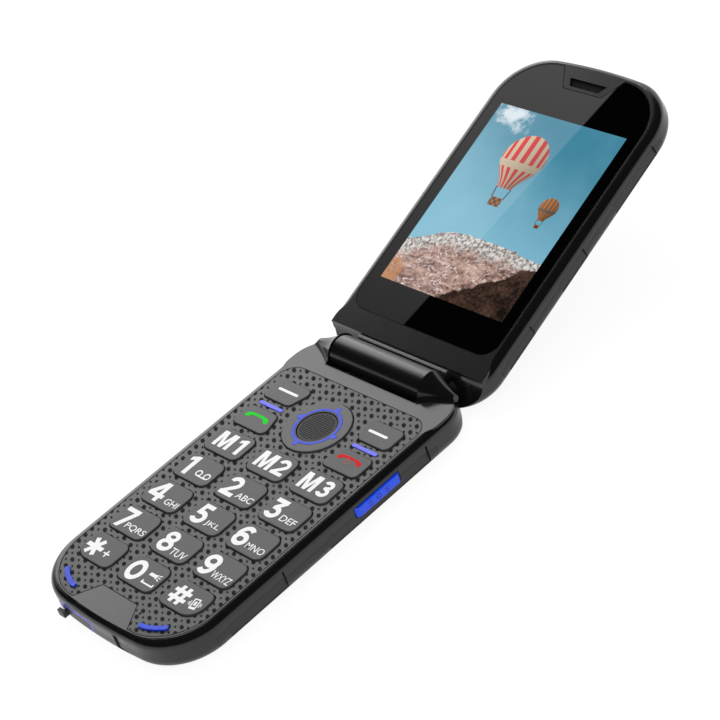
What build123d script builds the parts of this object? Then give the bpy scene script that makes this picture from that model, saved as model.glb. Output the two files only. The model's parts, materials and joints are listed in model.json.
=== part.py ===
"""Flip phone with a large-key keypad, its lid open.

Frame: millimetres, +X to the right, +Y from the keypad's front end towards the hinge, +Z up.
The origin is on the underside of the base, which lies flat. Both halves are laid out from the
hinge axis: a distance called reach runs from the axis towards the free end of either half, and
a distance called drop runs from the lid's face into the lid.
"""

from build123d import *
import math
import os

os.makedirs("parts", exist_ok=True)

# ---------------------------------------------------------------- driving dimensions
# hinge
hinge_y = 46.4
hinge_z = 8.6
opening_angle = 160.3
closed_gap = 1.0
knuckle_r = 4.75
knuckle_inner_x = 16.35
knuckle_side_gap = 3.4
knuckle_tip_r = 0.25
knuckle_crown = 0.6
knuckle_blend_r = 1.8
barrel_r = 4.4
barrel_gap = 0.25
trough_r = 5.9
lid_undercut_r = 7.0
pin_r = 1.5
pin_fit = 0.05
pin_depth = 4.4
pin_engagement = 3.5
cartridge_r = 3.0
cartridge_l = 12.0
flex_coil_l = 13.0
flex_t = 0.3

# outline shared by both halves
half_width = 28.0
half_reach = 97.6
end_crown = 2.4
end_corner_r = 15.0
lid_near_reach = -0.9
lid_near_corner_r = 12.0
lid_face_near_corner_r = 8.0
base_near_reach = -3.0
base_near_corner_r = 10.0
bevel_foot_reach = 3.2
bevel_slope = 1.35

# raised face that carries the keypad or the glass
face_side_inset = 1.9
face_inset = 0.6
face_end_inset = 1.4
face_height = 0.1
face_flare_start = 8.5
face_flare_end = 14.5
face_corner_r = 14.4
face_edge_r = 0.08
plate_side_inset = 0.63
plate_end_inset = 0.75
plate_corner_r = 14.0
plate_near_corner_r = 5.0
tab_foot_half = 10.6
tab_top_half = 6.6
tab_depth = 6.55
tab_corner_r = 0.9
tab_rib = 0.6

# casings
shoulder_r = 1.9
back_edge_r = 3.0
wall = 1.9
floor_t = 1.6
lid_floor_t = 1.3
ledge_t = 0.7
ledge_w = 1.2
parting_z = 4.5
window_depth = 0.5
base_window_z = (1.5, 6.6)
lid_window_drop = (2.3, 6.0)
base_near_window = (14.4, 48.4)
base_far_window = (35.4, 17.2)
lid_near_window = (14.5, 25.5)
lid_far_windows = ((59.6, 48.4), (35.2, 16.4))
base_cavity_near = 8.4
lid_cavity_near = 10.5
lid_back_cavity_near = 8.0
fit = 0.08
overrun = 2.0

# keypad
plate_t = 0.9
plate_near_reach = 9.7
key_proud = 0.4
key_gap = 0.22
key_travel = 0.25
key_flange = 0.45
key_flange_t = 0.6
key_flange_gap = 0.15
key_side_margin = 2.77
key_col_gap = 3.2
key_row_gap = 2.08
key_corner_r = 2.2
outer_key_corner_r = 4.4
side_key_corner_r = 1.8
key_edge_r = 0.25
top_row_reach = 39.48
key_end_margin = 14.05
plunger_r = 1.1
side_key_margin = 2.57
soft_key_from_nav = (-1.7, -9.0)
soft_key_inner = (12.7, 10.3)
call_key_from_nav = (9.1, 2.0)
call_key_inner = (10.2, 12.2)
side_plunger_inset = 5.7
nav_from_top_row = -15.28
nav_r = 9.1
nav_flange_r = 9.5
nav_flange_z = (6.8, 7.3)
nav_trim_r = (5.75, 6.45)
nav_trim_nub_r = 0.75
nav_trim_nub_at = 7.0
nav_trim_turn = 5.5
nav_trim_t = 0.35
nav_dome_at = 7.6
ok_r = 5.15
ok_recess = 0.15
ok_flange_r = 5.75
ok_flange_t = 0.35
ok_flange_relief = 6.6
gimbal_r = (5.95, 6.35)
gimbal_t = 0.25
bar_from_nav = 0.1
bar_w = 8.6
bar_l = 1.0
bar_inset = 5.6
bar_proud = 0.2
inlay_t = 0.35
arc_centre_inset = (13.97, 14.15)
arc_r = 11.7
arc_w = 1.2
arc_angles = (47.0, 85.0)
arc_proud = 0.5
mic_hole_x = 9.4
mic_hole_inset = 5.05
mic_hole_r = 0.35

# board and what it carries
board_t = 0.8
board_top = 6.0
board_side_gap = 6.1
board_near_reach = 10.2
board_main_end_gap = 13.1
board_tongue_half = 15.0
board_end_gap = 4.0
sheet_t = 0.1
sheet_margin = 0.6
dome_r = 2.4
dome_h = 0.25
post_r = 1.8
post_inset = 3.4
near_post_reach = 15.2
far_post_inset = 42.6
front_post_inset = (7.4, 10.8)
front_web = (2.2, 1.9)
boss_r = 2.4
screw_r = 0.8
screw_head_r = 1.5
screw_head_t = 0.8
screw_sink = 0.3
screw_play = 0.03
mic_size = (3.5, 2.6, 0.9)
motor_r = 1.5
motor_l = 9.0
motor_inset = (5.1, 31.6)
motor_z = 3.2
speaker_size = (15.0, 10.0, 2.8)
speaker_side_gap = 1.2
speaker_inset = 9.6
speaker_holes = (4, 2)
speaker_hole_r = 0.55
speaker_hole_pitch = 2.2
sim_size = (32.0, 8.0, 1.4)
sim_gap = 1.9
contact_size = (9.0, 1.2, 2.8)

# battery
battery_side_gap = 9.5
battery_near_reach = 19.0
battery_end_gap = 28.6
battery_t = 3.6
battery_gap = 0.2
battery_corner_r = 1.5
cover_side_gap = 6.0
cover_near_reach = 15.0
cover_end_gap = 18.6
cover_t = 1.0
cover_corner_r = 3.0
cover_grip_r = 1.6
bay_gap = 0.5
bay_wall = 0.9

# ports and side keys
usb_w = 8.94
usb_h = 3.2
usb_l = 7.2
usb_wall = 0.3
usb_tongue_t = 0.7
port_x = -9.0
port_w = 12.0
port_h = 3.6
port_z = 3.6
port_t = 1.6
port_gap = 0.15
port_back_gap = 0.1
gasket_w = 0.7
pull_tab = (2.3, 1.0, 1.8)
pull_tab_z = 2.9
pull_tab_root = 1.2
pull_tab_gap = 0.35
front_notch_x = 8.4
front_notch_w = 4.2
front_notch_z = (2.0, 6.6)
sos_reach = 31.45
sos_l = 14.7
sos_h = 2.7
sos_z = 4.9
sos_proud = 0.95
sos_chamfer = 0.9
sos_edge_r = 0.3
volume_reach = 27.0
volume_l = 17.0
volume_h = 2.6
volume_proud = 0.7
volume_flange_l = 9.0
side_key_gap = 0.25
side_flange = 0.4
side_flange_t = 0.7
side_flange_gap = 0.25

# lid
lid_t = 7.5
lid_parting = 3.2
glass_t = 0.9
glass_near_reach = 12.9
glass_near_corner_r = 5.0
glass_ledge_t = 0.9
glass_ledge_w = 1.3
module_side_gap = 2.07
module_near_reach = 18.4
module_end_gap = 13.0
module_gap = 0.1
module_t = 2.2
lid_board_side_gap = 9.0
lid_board_near_reach = 20.0
lid_board_end_gap = 18.6
lid_board_t = 0.8
lid_board_gap = 0.2
neck_reach = 8.4
neck_top_drop = 0.35
strip_reach = (5.35, 6.25)
strip_half = 16.0
strip_t = 0.5
slot_inset = 1.0
slot_w = 2.4
slot_half = (4.9, 6.4)
slot_mesh_drop = 0.5
slot_mesh_t = 0.4
earpiece_size = (11.0, 5.0, 2.0)
camera_inset = 11.6
camera_r = 4.6
camera_window_t = 0.7
camera_module_size = (8.0, 8.0, 2.2)
flash_x = 9.5
flash_r = 1.7
flash_t = 1.2
lid_post_r = 1.6
lid_post_near = (7.4, 12.2)
lid_post_far = (5.3, 9.1)
guard_depth = 1.2
guard_near_reach = 12.0
guard_end_gap = 13.6
base_guard_z = (1.6, 4.35)
lid_guard_drop = (3.35, 5.6)

# ---------------------------------------------------------------- worked-out places
tilt = math.radians(180 - opening_angle)
deck_z = hinge_z
rim_z = deck_z - face_height
key_top_z = deck_z + key_proud
face_drop = closed_gap + key_top_z - hinge_z
plate_z = deck_z - plate_t
ledge_z = plate_z - ledge_t
flange_top_z = plate_z - key_flange_gap
flange_z = flange_top_z - key_flange_t
dome_top_z = board_top + sheet_t + dome_h
plunger_z = dome_top_z + key_travel + 0.05
post_top_z = flange_z - key_travel - 0.1
battery_z = cover_t + battery_gap

knuckle_outer_x = half_width - knuckle_side_gap
face_half_width = half_width - face_side_inset
face_near_half_width = half_width - face_inset
face_end_reach = half_reach - face_end_inset
plate_half_width = face_half_width - plate_side_inset
plate_end_reach = face_end_reach - plate_end_inset
tab_reach = plate_end_reach - tab_depth
base_windows = (base_near_window, [half_reach - inset for inset in base_far_window])
lid_windows = [lid_near_window] + [[half_reach - inset for inset in ends] for ends in lid_far_windows]
guard_reach = (guard_near_reach, half_reach - guard_end_gap)

key_w = 2 * (plate_half_width - key_side_margin - key_col_gap) / 3
key_col_pitch = key_w + key_col_gap
zero_key_reach = plate_end_reach - key_end_margin
key_row_pitch = (zero_key_reach - top_row_reach) / 4
nav_reach = top_row_reach + nav_from_top_row
soft_key_reach = [nav_reach + end for end in soft_key_from_nav]
call_key_reach = [nav_reach + end for end in call_key_from_nav]
bar_reach = nav_reach + bar_from_nav
key_l = key_row_pitch - key_row_gap
side_key_outer = plate_half_width - side_key_margin
side_plunger_x = side_key_outer - side_plunger_inset
bar_x = side_key_outer - bar_inset
arc_centre = (plate_half_width - arc_centre_inset[0], plate_end_reach - arc_centre_inset[1])
mic_hole = (mic_hole_x, plate_end_reach - mic_hole_inset)

board_half_width = half_width - board_side_gap
board_main_reach = half_reach - board_main_end_gap
board_end_reach = half_reach - board_end_gap
battery_w = 2 * (half_width - battery_side_gap)
battery_l = half_reach - battery_end_gap - battery_near_reach
battery_reach = battery_near_reach + battery_l / 2
cover_w = 2 * (half_width - cover_side_gap)
cover_l = half_reach - cover_end_gap - cover_near_reach
cover_reach = cover_near_reach + cover_l / 2
sim_reach = battery_near_reach + battery_l + sim_gap + sim_size[1] / 2
front_post_x = half_width - front_post_inset[0]
front_post_reach = half_reach - front_post_inset[1]
speaker_x = front_post_x - boss_r - speaker_side_gap - speaker_size[0] / 2
speaker_reach = half_reach - speaker_inset
motor_x = motor_inset[0] - half_width
motor_reach = half_reach - motor_inset[1]

module_w = 2 * (plate_half_width - module_side_gap)
module_end_reach = half_reach - module_end_gap
lid_board_half_width = half_width - lid_board_side_gap
lid_board_reach = (lid_board_near_reach, half_reach - lid_board_end_gap)
slot_reach = (tab_reach + slot_inset, tab_reach + slot_inset + slot_w)
camera_reach = half_reach - camera_inset
barrel_half = knuckle_inner_x - barrel_gap
hinge_axis = Axis((0, hinge_y, hinge_z), (1, 0, 0))
lid_normal = (0, -math.sin(tilt), math.cos(tilt))


def base_at(z):
    """Plane z above the underside; local x is flipped and local y is reach."""
    return Plane(origin=(0, hinge_y, z), x_dir=(-1, 0, 0), z_dir=(0, 0, 1))


def lid_at(drop):
    """Plane that far below the lid's face; local y is reach."""
    below_axis = drop + face_drop
    origin = (0, -below_axis * lid_normal[1] + hinge_y, hinge_z - below_axis * lid_normal[2])
    return Plane(origin=origin, x_dir=(1, 0, 0), z_dir=lid_normal)


def spot(x, reach):
    """Place on a level sketch of the base, x to the right."""
    return (x, hinge_y - reach)


def half_plan(width, near_width, near, far, near_r, far_r):
    """Plan outline of a half: crowned far end, big corners, sides that flare near the hinge."""
    with BuildSketch(mode=Mode.PRIVATE) as plan:
        with BuildLine():
            Line((0, near), (near_width, near))
            if near_width == width:
                Line((near_width, near), (width, far - end_crown))
            else:
                mid = (face_flare_start + face_flare_end) / 2
                Line((near_width, near), (near_width, face_flare_start))
                Bezier(
                    (near_width, face_flare_start), (near_width, mid), (width, mid), (width, face_flare_end)
                )
                Line((width, face_flare_end), (width, far - end_crown))
            crown_r = (width**2 + end_crown**2) / (2 * end_crown)
            RadiusArc((width, far - end_crown), (0, far), -crown_r)
            Line((0, far), (0, near))
        make_face()
        mirror(about=Plane.YZ)
        sides = plan.vertices().filter_by(lambda v: abs(v.X) > width - 0.1)
        fillet(sides.group_by(Axis.Y)[0], near_r)
        sides = plan.vertices().filter_by(lambda v: abs(v.X) > width - 0.1)
        fillet(sides.group_by(Axis.Y)[-1], far_r)
    return plan.sketch


def inset(plan, amount):
    """The same outline, moved in by amount, or out where amount is negative."""
    with BuildSketch(mode=Mode.PRIVATE) as moved:
        add(plan)
        offset(amount=-amount)
    return moved.sketch


def tab_plan(grow):
    """Trapezoid at the free end that the casing pushes into the plate or the glass."""
    slope = (tab_foot_half - tab_top_half) / (plate_end_reach - tab_reach)
    foot = tab_foot_half + grow + overrun * slope
    with BuildSketch(mode=Mode.PRIVATE) as tab:
        with BuildLine():
            Polyline(
                (-foot, plate_end_reach + overrun),
                (-tab_top_half - grow, tab_reach - grow),
                (tab_top_half + grow, tab_reach - grow),
                (foot, plate_end_reach + overrun),
                close=True,
            )
        make_face()
        fillet(tab.vertices().group_by(Axis.Y)[0], tab_corner_r)
    return tab.sketch


def inner_plan(plan, near):
    """Hollow of a casing: the outline less its wall, from near to the free end."""
    with BuildSketch(mode=Mode.PRIVATE) as hollow:
        add(inset(plan, wall))
        with Locations((0, near + half_reach)):
            Rectangle(2 * half_width, 2 * half_reach, mode=Mode.INTERSECT)
    return hollow.sketch


base_plan = half_plan(
    half_width, half_width, base_near_reach, half_reach, base_near_corner_r, end_corner_r
)
lid_plan = half_plan(
    half_width, half_width, lid_near_reach, half_reach, lid_near_corner_r, end_corner_r
)
base_face_plan = half_plan(
    face_half_width,
    face_near_half_width,
    base_near_reach + face_inset,
    face_end_reach,
    base_near_corner_r - face_inset,
    face_corner_r,
)
lid_face_plan = half_plan(
    face_half_width,
    face_near_half_width,
    lid_near_reach + face_inset,
    face_end_reach,
    lid_face_near_corner_r,
    face_corner_r,
)
plate_plan = half_plan(
    plate_half_width,
    plate_half_width,
    plate_near_reach,
    plate_end_reach,
    plate_near_corner_r,
    plate_corner_r,
)
glass_plan = half_plan(
    plate_half_width,
    plate_half_width,
    glass_near_reach,
    plate_end_reach,
    glass_near_corner_r,
    plate_corner_r,
)


def export(part, name):
    part.label = name
    export_step(part, f"parts/{name}.step")


def footprint(x, reach, z, size):
    """Level rectangle at z in the base, size[0] across and size[1] along."""
    with BuildSketch(Plane.XY.offset(z), mode=Mode.PRIVATE) as rectangle:
        with Locations(spot(x, reach)):
            Rectangle(size[0], size[1])
    return rectangle.sketch


# ---------------------------------------------------------------- key layout
def number_key_outline(outer_corner):
    """Number key; outer_corner is -1 or 1 where a front corner follows the plate's corner."""
    with BuildSketch(mode=Mode.PRIVATE) as outline:
        Rectangle(key_w, key_l)
        front = outline.vertices().group_by(Axis.Y)[0]
        wide = front.filter_by(lambda v: v.X * outer_corner > 0)
        fillet([v for v in outline.vertices() if v not in wide], key_corner_r)
        if outer_corner:
            front = outline.vertices().group_by(Axis.Y)[0].sort_by(Axis.X)
            corner_r = min(outer_key_corner_r, key_l - key_corner_r - key_edge_r)
            fillet(front[0] if outer_corner < 0 else front[-1], corner_r)
    return outline.sketch


def side_key_outline(side, reaches, inner):
    """Key beside the ring: straight outer edge, inner edge slanted round the ring."""
    centre = sum(reaches) / 2
    with BuildSketch(mode=Mode.PRIVATE) as outline:
        with BuildLine():
            Polyline(
                (side * inner[0], centre - reaches[0]),
                (side * side_key_outer, centre - reaches[0]),
                (side * side_key_outer, centre - reaches[1]),
                (side * inner[1], centre - reaches[1]),
                close=True,
            )
        make_face()
        fillet(outline.vertices(), side_key_corner_r)
    return outline.sketch


number_rows = (
    ("key_star", "key_0", "key_hash"),
    ("key_7", "key_8", "key_9"),
    ("key_4", "key_5", "key_6"),
    ("key_1", "key_2", "key_3"),
    ("key_m1", "key_m2", "key_m3"),
)
# name: (outline, x and reach of the outline's own origin, x of the plunger)
keys = {}
for row, names in enumerate(number_rows):
    for col, name in enumerate(names):
        outer = {"key_star": -1, "key_hash": 1}.get(name, 0)
        x = (col - 1) * key_col_pitch
        keys[name] = (number_key_outline(outer), x, zero_key_reach - row * key_row_pitch, x)
for side, soft, call in ((-1, "key_soft_left", "key_call"), (1, "key_soft_right", "key_end")):
    soft_plan = side_key_outline(side, soft_key_reach, soft_key_inner)
    call_plan = side_key_outline(side, call_key_reach, call_key_inner)
    keys[soft] = (soft_plan, 0, sum(soft_key_reach) / 2, side * side_plunger_x)
    keys[call] = (call_plan, 0, sum(call_key_reach) / 2, side * side_plunger_x)

dome_spots = [spot(plunger_x, reach) for _, _, reach, plunger_x in keys.values()]
dome_spots += [spot(0, nav_reach), spot(0, nav_reach - nav_dome_at), spot(0, nav_reach + nav_dome_at)]
dome_spots += [spot(-nav_dome_at, nav_reach), spot(nav_dome_at, nav_reach)]
post_x = half_width - post_inset
post_reaches = (near_post_reach, half_reach - far_post_inset)
side_screws = [spot(side * post_x, reach) for side in (-1, 1) for reach in post_reaches]
front_screws = [spot(side * front_post_x, front_post_reach) for side in (-1, 1)]
base_screw_spots = side_screws + front_screws
front_webs = [
    spot(side * (front_post_x + front_web[0]), front_post_reach + front_web[1]) for side in (-1, 1)
]
lid_near_spots = [(side * (half_width - lid_post_near[0]), lid_post_near[1]) for side in (-1, 1)]
lid_far_spots = [
    (side * (half_width - lid_post_far[0]), half_reach - lid_post_far[1]) for side in (-1, 1)
]
lid_screw_spots = lid_near_spots + lid_far_spots

# ---------------------------------------------------------------- outer forms of the halves
def knuckle_plan(end_x):
    """Half section of the knuckles on the hinge axis, tapering from the barrel's ends to end_x."""
    with BuildSketch(Plane(origin=(0, hinge_y, hinge_z)), mode=Mode.PRIVATE) as section:
        with BuildLine():
            taper = SagittaArc((half_width, knuckle_tip_r), (knuckle_inner_x, knuckle_r), knuckle_crown)
            Polyline(taper @ 1, (0, knuckle_r), (0, 0), (half_width, 0), taper @ 0)
        make_face()
        mirror(about=Plane.YZ)
        Rectangle(2 * end_x, 4 * knuckle_r, mode=Mode.INTERSECT)
    return section.sketch


# the deck sweeps up into the knuckles, which run out to the casing's sides
with BuildPart() as knuckle_blend:
    with BuildSketch(Plane.XY.offset(parting_z)):
        with Locations((0, hinge_y)):
            Rectangle(2 * half_width, 4 * trough_r)
    extrude(amount=deck_z - parting_z)
    revolve(knuckle_plan(half_width), axis=hinge_axis)
    at_deck = knuckle_blend.edges().filter_by(lambda e: abs(e.center().Z - deck_z) < 0.01)
    before_hinge = at_deck.filter_by(lambda e: 0 < hinge_y - e.center().Y < trough_r)
    fillet(before_hinge.filter_by(Axis.Y, reverse=True), knuckle_blend_r)
    with BuildSketch(base_at(parting_z)):
        add(inset(base_face_plan, face_edge_r))
    extrude(amount=deck_z + knuckle_r - parting_z, mode=Mode.INTERSECT)

with BuildPart() as base_form:
    with BuildSketch(base_at(0)):
        add(base_plan)
    extrude(amount=rim_z)
    fillet(base_form.edges().group_by(Axis.Z)[0], back_edge_r)
    fillet(base_form.edges().group_by(Axis.Z)[-1], shoulder_r)
    with BuildSketch(base_at(rim_z - shoulder_r)):
        add(base_face_plan)
    extrude(amount=shoulder_r + face_height)
    fillet(base_form.edges().group_by(Axis.Z)[-1], face_edge_r)
    add(knuckle_blend.part)
    # side windows, shallow pockets between the raised blocks
    with BuildSketch(base_at(base_window_z[0])):
        for near, far in base_windows:
            with Locations((half_width, (near + far) / 2), (-half_width, (near + far) / 2)):
                Rectangle(2 * window_depth, far - near)
    extrude(amount=base_window_z[1] - base_window_z[0], mode=Mode.SUBTRACT)
    # notch in the front wall
    with BuildSketch(Plane.XY.offset(front_notch_z[0])):
        with Locations(spot(front_notch_x, half_reach)):
            Rectangle(front_notch_w, 2 * window_depth)
    extrude(amount=front_notch_z[1] - front_notch_z[0], mode=Mode.SUBTRACT)
    # bevel under the hinge end
    foot_y = hinge_y - bevel_foot_reach
    with BuildSketch(Plane.YZ):
        with BuildLine():
            Polyline(
                (foot_y - overrun / bevel_slope, -overrun),
                (foot_y + (deck_z + overrun) / bevel_slope, deck_z + overrun),
                (hinge_y + half_width, deck_z + overrun),
                (hinge_y + half_width, -overrun),
                close=True,
            )
        make_face()
    extrude(amount=half_width + overrun, both=True, mode=Mode.SUBTRACT)

with BuildPart() as lid_form:
    with BuildSketch(lid_at(lid_t)):
        add(lid_plan)
    extrude(amount=lid_t - face_height)
    lid_axis = Axis((0, 0, 0), lid_normal)
    fillet(lid_form.edges().group_by(lid_axis)[0], back_edge_r)
    fillet(lid_form.edges().group_by(lid_axis)[-1], shoulder_r)
    with BuildSketch(lid_at(face_height + shoulder_r)):
        add(lid_face_plan)
    extrude(amount=shoulder_r + face_height)
    fillet(lid_form.edges().group_by(lid_axis)[-1], face_edge_r)
    with BuildSketch(lid_at(lid_window_drop[1])):
        for near, far in lid_windows:
            with Locations((half_width, (near + far) / 2), (-half_width, (near + far) / 2)):
                Rectangle(2 * window_depth, far - near)
    extrude(amount=lid_window_drop[1] - lid_window_drop[0], mode=Mode.SUBTRACT)
    # undercut that swings round the knuckles
    with BuildSketch(Plane.YZ):
        with Locations((hinge_y, hinge_z)):
            Circle(lid_undercut_r)
    extrude(amount=half_width + overrun, both=True, mode=Mode.SUBTRACT)


# ---------------------------------------------------------------- base casing
def port_box(grow, depth):
    """Port window, sketched depth inside the front wall's surface and facing outwards."""
    level = Plane.XZ.offset(half_reach - hinge_y - depth)
    with BuildSketch(level, mode=Mode.PRIVATE) as window:
        with Locations((port_x, port_z)):
            RectangleRounded(port_w + 2 * grow, port_h + 2 * grow, 0.6 + grow)
    return window.sketch


def side_key_hole(side, reach, length, height):
    """Opening in a side wall for a key of that length and height, sketched inside the wall."""
    with BuildSketch(Plane.YZ.offset(side * (half_width - 2 * wall)), mode=Mode.PRIVATE) as hole:
        with Locations((hinge_y - reach, sos_z)):
            Rectangle(length + 2 * side_key_gap, height + 2 * side_key_gap)
    return hole.sketch


def cut_side_keys():
    """Openings for the SOS key on the right and the volume key on the left."""
    extrude(side_key_hole(1, sos_reach, sos_l, sos_h), amount=3 * wall, mode=Mode.SUBTRACT)
    extrude(side_key_hole(-1, volume_reach, volume_l, volume_h), amount=-3 * wall, mode=Mode.SUBTRACT)


def cut_port():
    """Port window and the rebate round it for the cover's gasket."""
    extrude(port_box(gasket_w + port_gap, port_t), amount=2 * port_t, mode=Mode.SUBTRACT)
    extrude(port_box(0, wall + 2), amount=wall + 2, mode=Mode.SUBTRACT)


with BuildPart() as base_top_shell:
    add(base_form.part)
    split(bisect_by=Plane.XY.offset(parting_z), keep=Keep.TOP)
    # knuckles beyond the barrel's ends
    revolve(knuckle_plan(knuckle_outer_x), axis=hinge_axis)
    # room for the barrel between the knuckles
    with BuildSketch(Plane.YZ):
        with Locations((hinge_y, hinge_z)):
            Circle(trough_r)
            Rectangle(2 * trough_r, 4 * trough_r, align=(Align.MIN, Align.CENTER))
    extrude(amount=knuckle_inner_x, both=True, mode=Mode.SUBTRACT)
    # hollow, ledge and seat for the keypad plate
    with BuildSketch(base_at(parting_z)):
        add(inner_plan(base_plan, base_cavity_near))
    extrude(amount=ledge_z - parting_z, mode=Mode.SUBTRACT)
    with BuildSketch(base_at(ledge_z)):
        add(inset(plate_plan, ledge_w))
        add(tab_plan(tab_rib), mode=Mode.SUBTRACT)
    extrude(amount=ledge_t, mode=Mode.SUBTRACT)
    with BuildSketch(base_at(plate_z)):
        add(inset(plate_plan, -fit))
        add(tab_plan(0), mode=Mode.SUBTRACT)
    extrude(amount=plate_t, mode=Mode.SUBTRACT)
    # screw posts, the front ones joined to the corners by a web
    with BuildSketch(Plane.XY.offset(parting_z)):
        with Locations(base_screw_spots + front_webs):
            Circle(post_r)
    extrude(amount=post_top_z - parting_z)
    with BuildSketch(Plane.XY.offset(parting_z)):
        with Locations(base_screw_spots):
            Circle(screw_r + screw_play)
    extrude(amount=post_top_z - parting_z - 0.5, mode=Mode.SUBTRACT)
    # bores for the hinge pins
    with BuildSketch(Plane.YZ.offset(-knuckle_inner_x - pin_depth)):
        with Locations((hinge_y, hinge_z)):
            Circle(pin_r + screw_play)
    extrude(amount=2 * (knuckle_inner_x + pin_depth), mode=Mode.SUBTRACT)
    # port, SOS key and volume key
    cut_port()
    cut_side_keys()
    export(base_top_shell.part, "base_top_shell")

with BuildPart() as base_bottom_shell:
    add(base_form.part)
    split(bisect_by=Plane.XY.offset(parting_z), keep=Keep.BOTTOM)
    # the barrel and the knuckles of the upper casing reach below the parting line
    with BuildSketch(Plane.YZ):
        with Locations((hinge_y, hinge_z)):
            Circle(trough_r)
    extrude(amount=knuckle_inner_x, both=True, mode=Mode.SUBTRACT)
    with BuildSketch(Plane.YZ):
        with Locations((hinge_y, hinge_z)):
            Circle(knuckle_r + fit)
    extrude(amount=knuckle_outer_x, both=True, mode=Mode.SUBTRACT)
    with BuildSketch(base_at(floor_t)):
        add(inner_plan(base_plan, base_cavity_near))
    extrude(amount=parting_z - floor_t, mode=Mode.SUBTRACT)
    # wall round the battery, open where its contacts come down
    with BuildSketch(Plane.XY.offset(floor_t)):
        with Locations(spot(0, battery_reach)):
            Rectangle(battery_w + 2 * (bay_gap + bay_wall), battery_l + 2 * (bay_gap + bay_wall))
        with Locations(spot(0, battery_reach + battery_l / 2)):
            Rectangle(contact_size[0] + 2 * bay_gap, 4 * contact_size[1], mode=Mode.SUBTRACT)
    extrude(amount=parting_z - floor_t)
    # seat and opening for the battery cover
    with BuildSketch():
        with Locations(spot(0, cover_reach)):
            RectangleRounded(cover_w + 2 * fit, cover_l + 2 * fit, cover_corner_r)
    extrude(amount=cover_t, mode=Mode.SUBTRACT)
    with BuildSketch(Plane.XY.offset(cover_t)):
        with Locations(spot(0, battery_reach)):
            Rectangle(battery_w + 2 * bay_gap, battery_l + 2 * bay_gap)
    extrude(amount=parting_z - cover_t, mode=Mode.SUBTRACT)
    # screw bosses with counterbores
    with BuildSketch(Plane.XY.offset(floor_t)):
        with Locations(base_screw_spots):
            Circle(boss_r)
    extrude(amount=parting_z - floor_t)
    with BuildSketch():
        with Locations(base_screw_spots):
            Circle(screw_head_r + fit)
    extrude(amount=screw_sink + screw_head_t, mode=Mode.SUBTRACT)
    with BuildSketch():
        with Locations(base_screw_spots):
            Circle(screw_r + screw_play)
    extrude(amount=parting_z, mode=Mode.SUBTRACT)
    # sound holes under the loudspeaker
    with BuildSketch():
        with Locations(spot(speaker_x, speaker_reach)):
            with GridLocations(speaker_hole_pitch, speaker_hole_pitch, *speaker_holes):
                Circle(speaker_hole_r)
    extrude(amount=floor_t, mode=Mode.SUBTRACT)
    # slots for the side guards
    with BuildSketch(Plane.XY.offset(base_guard_z[0] - fit)):
        for side in (-1, 1):
            with Locations(spot(side * half_width, sum(guard_reach) / 2)):
                Rectangle(2 * (guard_depth + fit), guard_reach[1] - guard_reach[0] + 2 * fit)
    extrude(amount=base_guard_z[1] - base_guard_z[0] + 2 * fit, mode=Mode.SUBTRACT)
    cut_port()
    cut_side_keys()
    export(base_bottom_shell.part, "base_bottom_shell")

with BuildPart() as base_guards:
    add(base_form.part)
    with BuildSketch(Plane.XY.offset(base_guard_z[0])):
        for side in (-1, 1):
            with Locations(spot(side * half_width, sum(guard_reach) / 2)):
                Rectangle(2 * guard_depth, guard_reach[1] - guard_reach[0])
    extrude(amount=base_guard_z[1] - base_guard_z[0], mode=Mode.INTERSECT)
    cut_side_keys()
    export(base_guards.part, "base_guards")

with BuildPart() as battery_cover:
    with BuildSketch():
        with Locations(spot(0, cover_reach)):
            RectangleRounded(cover_w, cover_l, cover_corner_r)
    extrude(amount=cover_t)
    # thumb hollow near the free end
    with BuildSketch():
        with Locations(spot(0, cover_reach + cover_l / 2 - 3 * cover_grip_r)):
            SlotOverall(10 * cover_grip_r, 2 * cover_grip_r)
    extrude(amount=cover_t / 2, mode=Mode.SUBTRACT)
    export(battery_cover.part, "battery_cover")

# ---------------------------------------------------------------- inside the base
with BuildPart() as battery:
    with BuildSketch(Plane.XY.offset(battery_z)):
        with Locations(spot(0, battery_reach)):
            Rectangle(battery_w, battery_l)
    extrude(amount=battery_t)
    fillet(battery.edges().filter_by(Axis.Y), battery_corner_r)
    export(battery.part, "battery")

with BuildPart() as main_board:
    with BuildSketch(Plane.XY.offset(board_top - board_t)):
        with Locations(spot(0, (board_near_reach + board_main_reach) / 2)):
            Rectangle(2 * board_half_width, board_main_reach - board_near_reach)
        with Locations(spot(0, (board_near_reach + board_end_reach) / 2)):
            Rectangle(2 * board_tongue_half, board_end_reach - board_near_reach)
    extrude(amount=board_t)
    export(main_board.part, "main_board")

with BuildPart() as dome_sheet:
    with BuildSketch(Plane.XY.offset(board_top)):
        with Locations(spot(0, (board_near_reach + board_main_reach) / 2)):
            Rectangle(
                2 * (board_half_width - sheet_margin),
                board_main_reach - board_near_reach - 2 * sheet_margin,
            )
    extrude(amount=sheet_t)
    with BuildSketch(Plane.XY.offset(board_top + sheet_t)):
        with Locations(dome_spots):
            Circle(dome_r)
    extrude(amount=dome_h, taper=45)
    export(dome_sheet.part, "dome_sheet")

with BuildPart() as battery_contacts:
    contact_reach = battery_reach + battery_l / 2 + contact_size[1] / 2 + fit
    contact_z = board_top - board_t - contact_size[2]
    extrude(footprint(0, contact_reach, contact_z, contact_size), amount=contact_size[2])
    export(battery_contacts.part, "battery_contacts")

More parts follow.
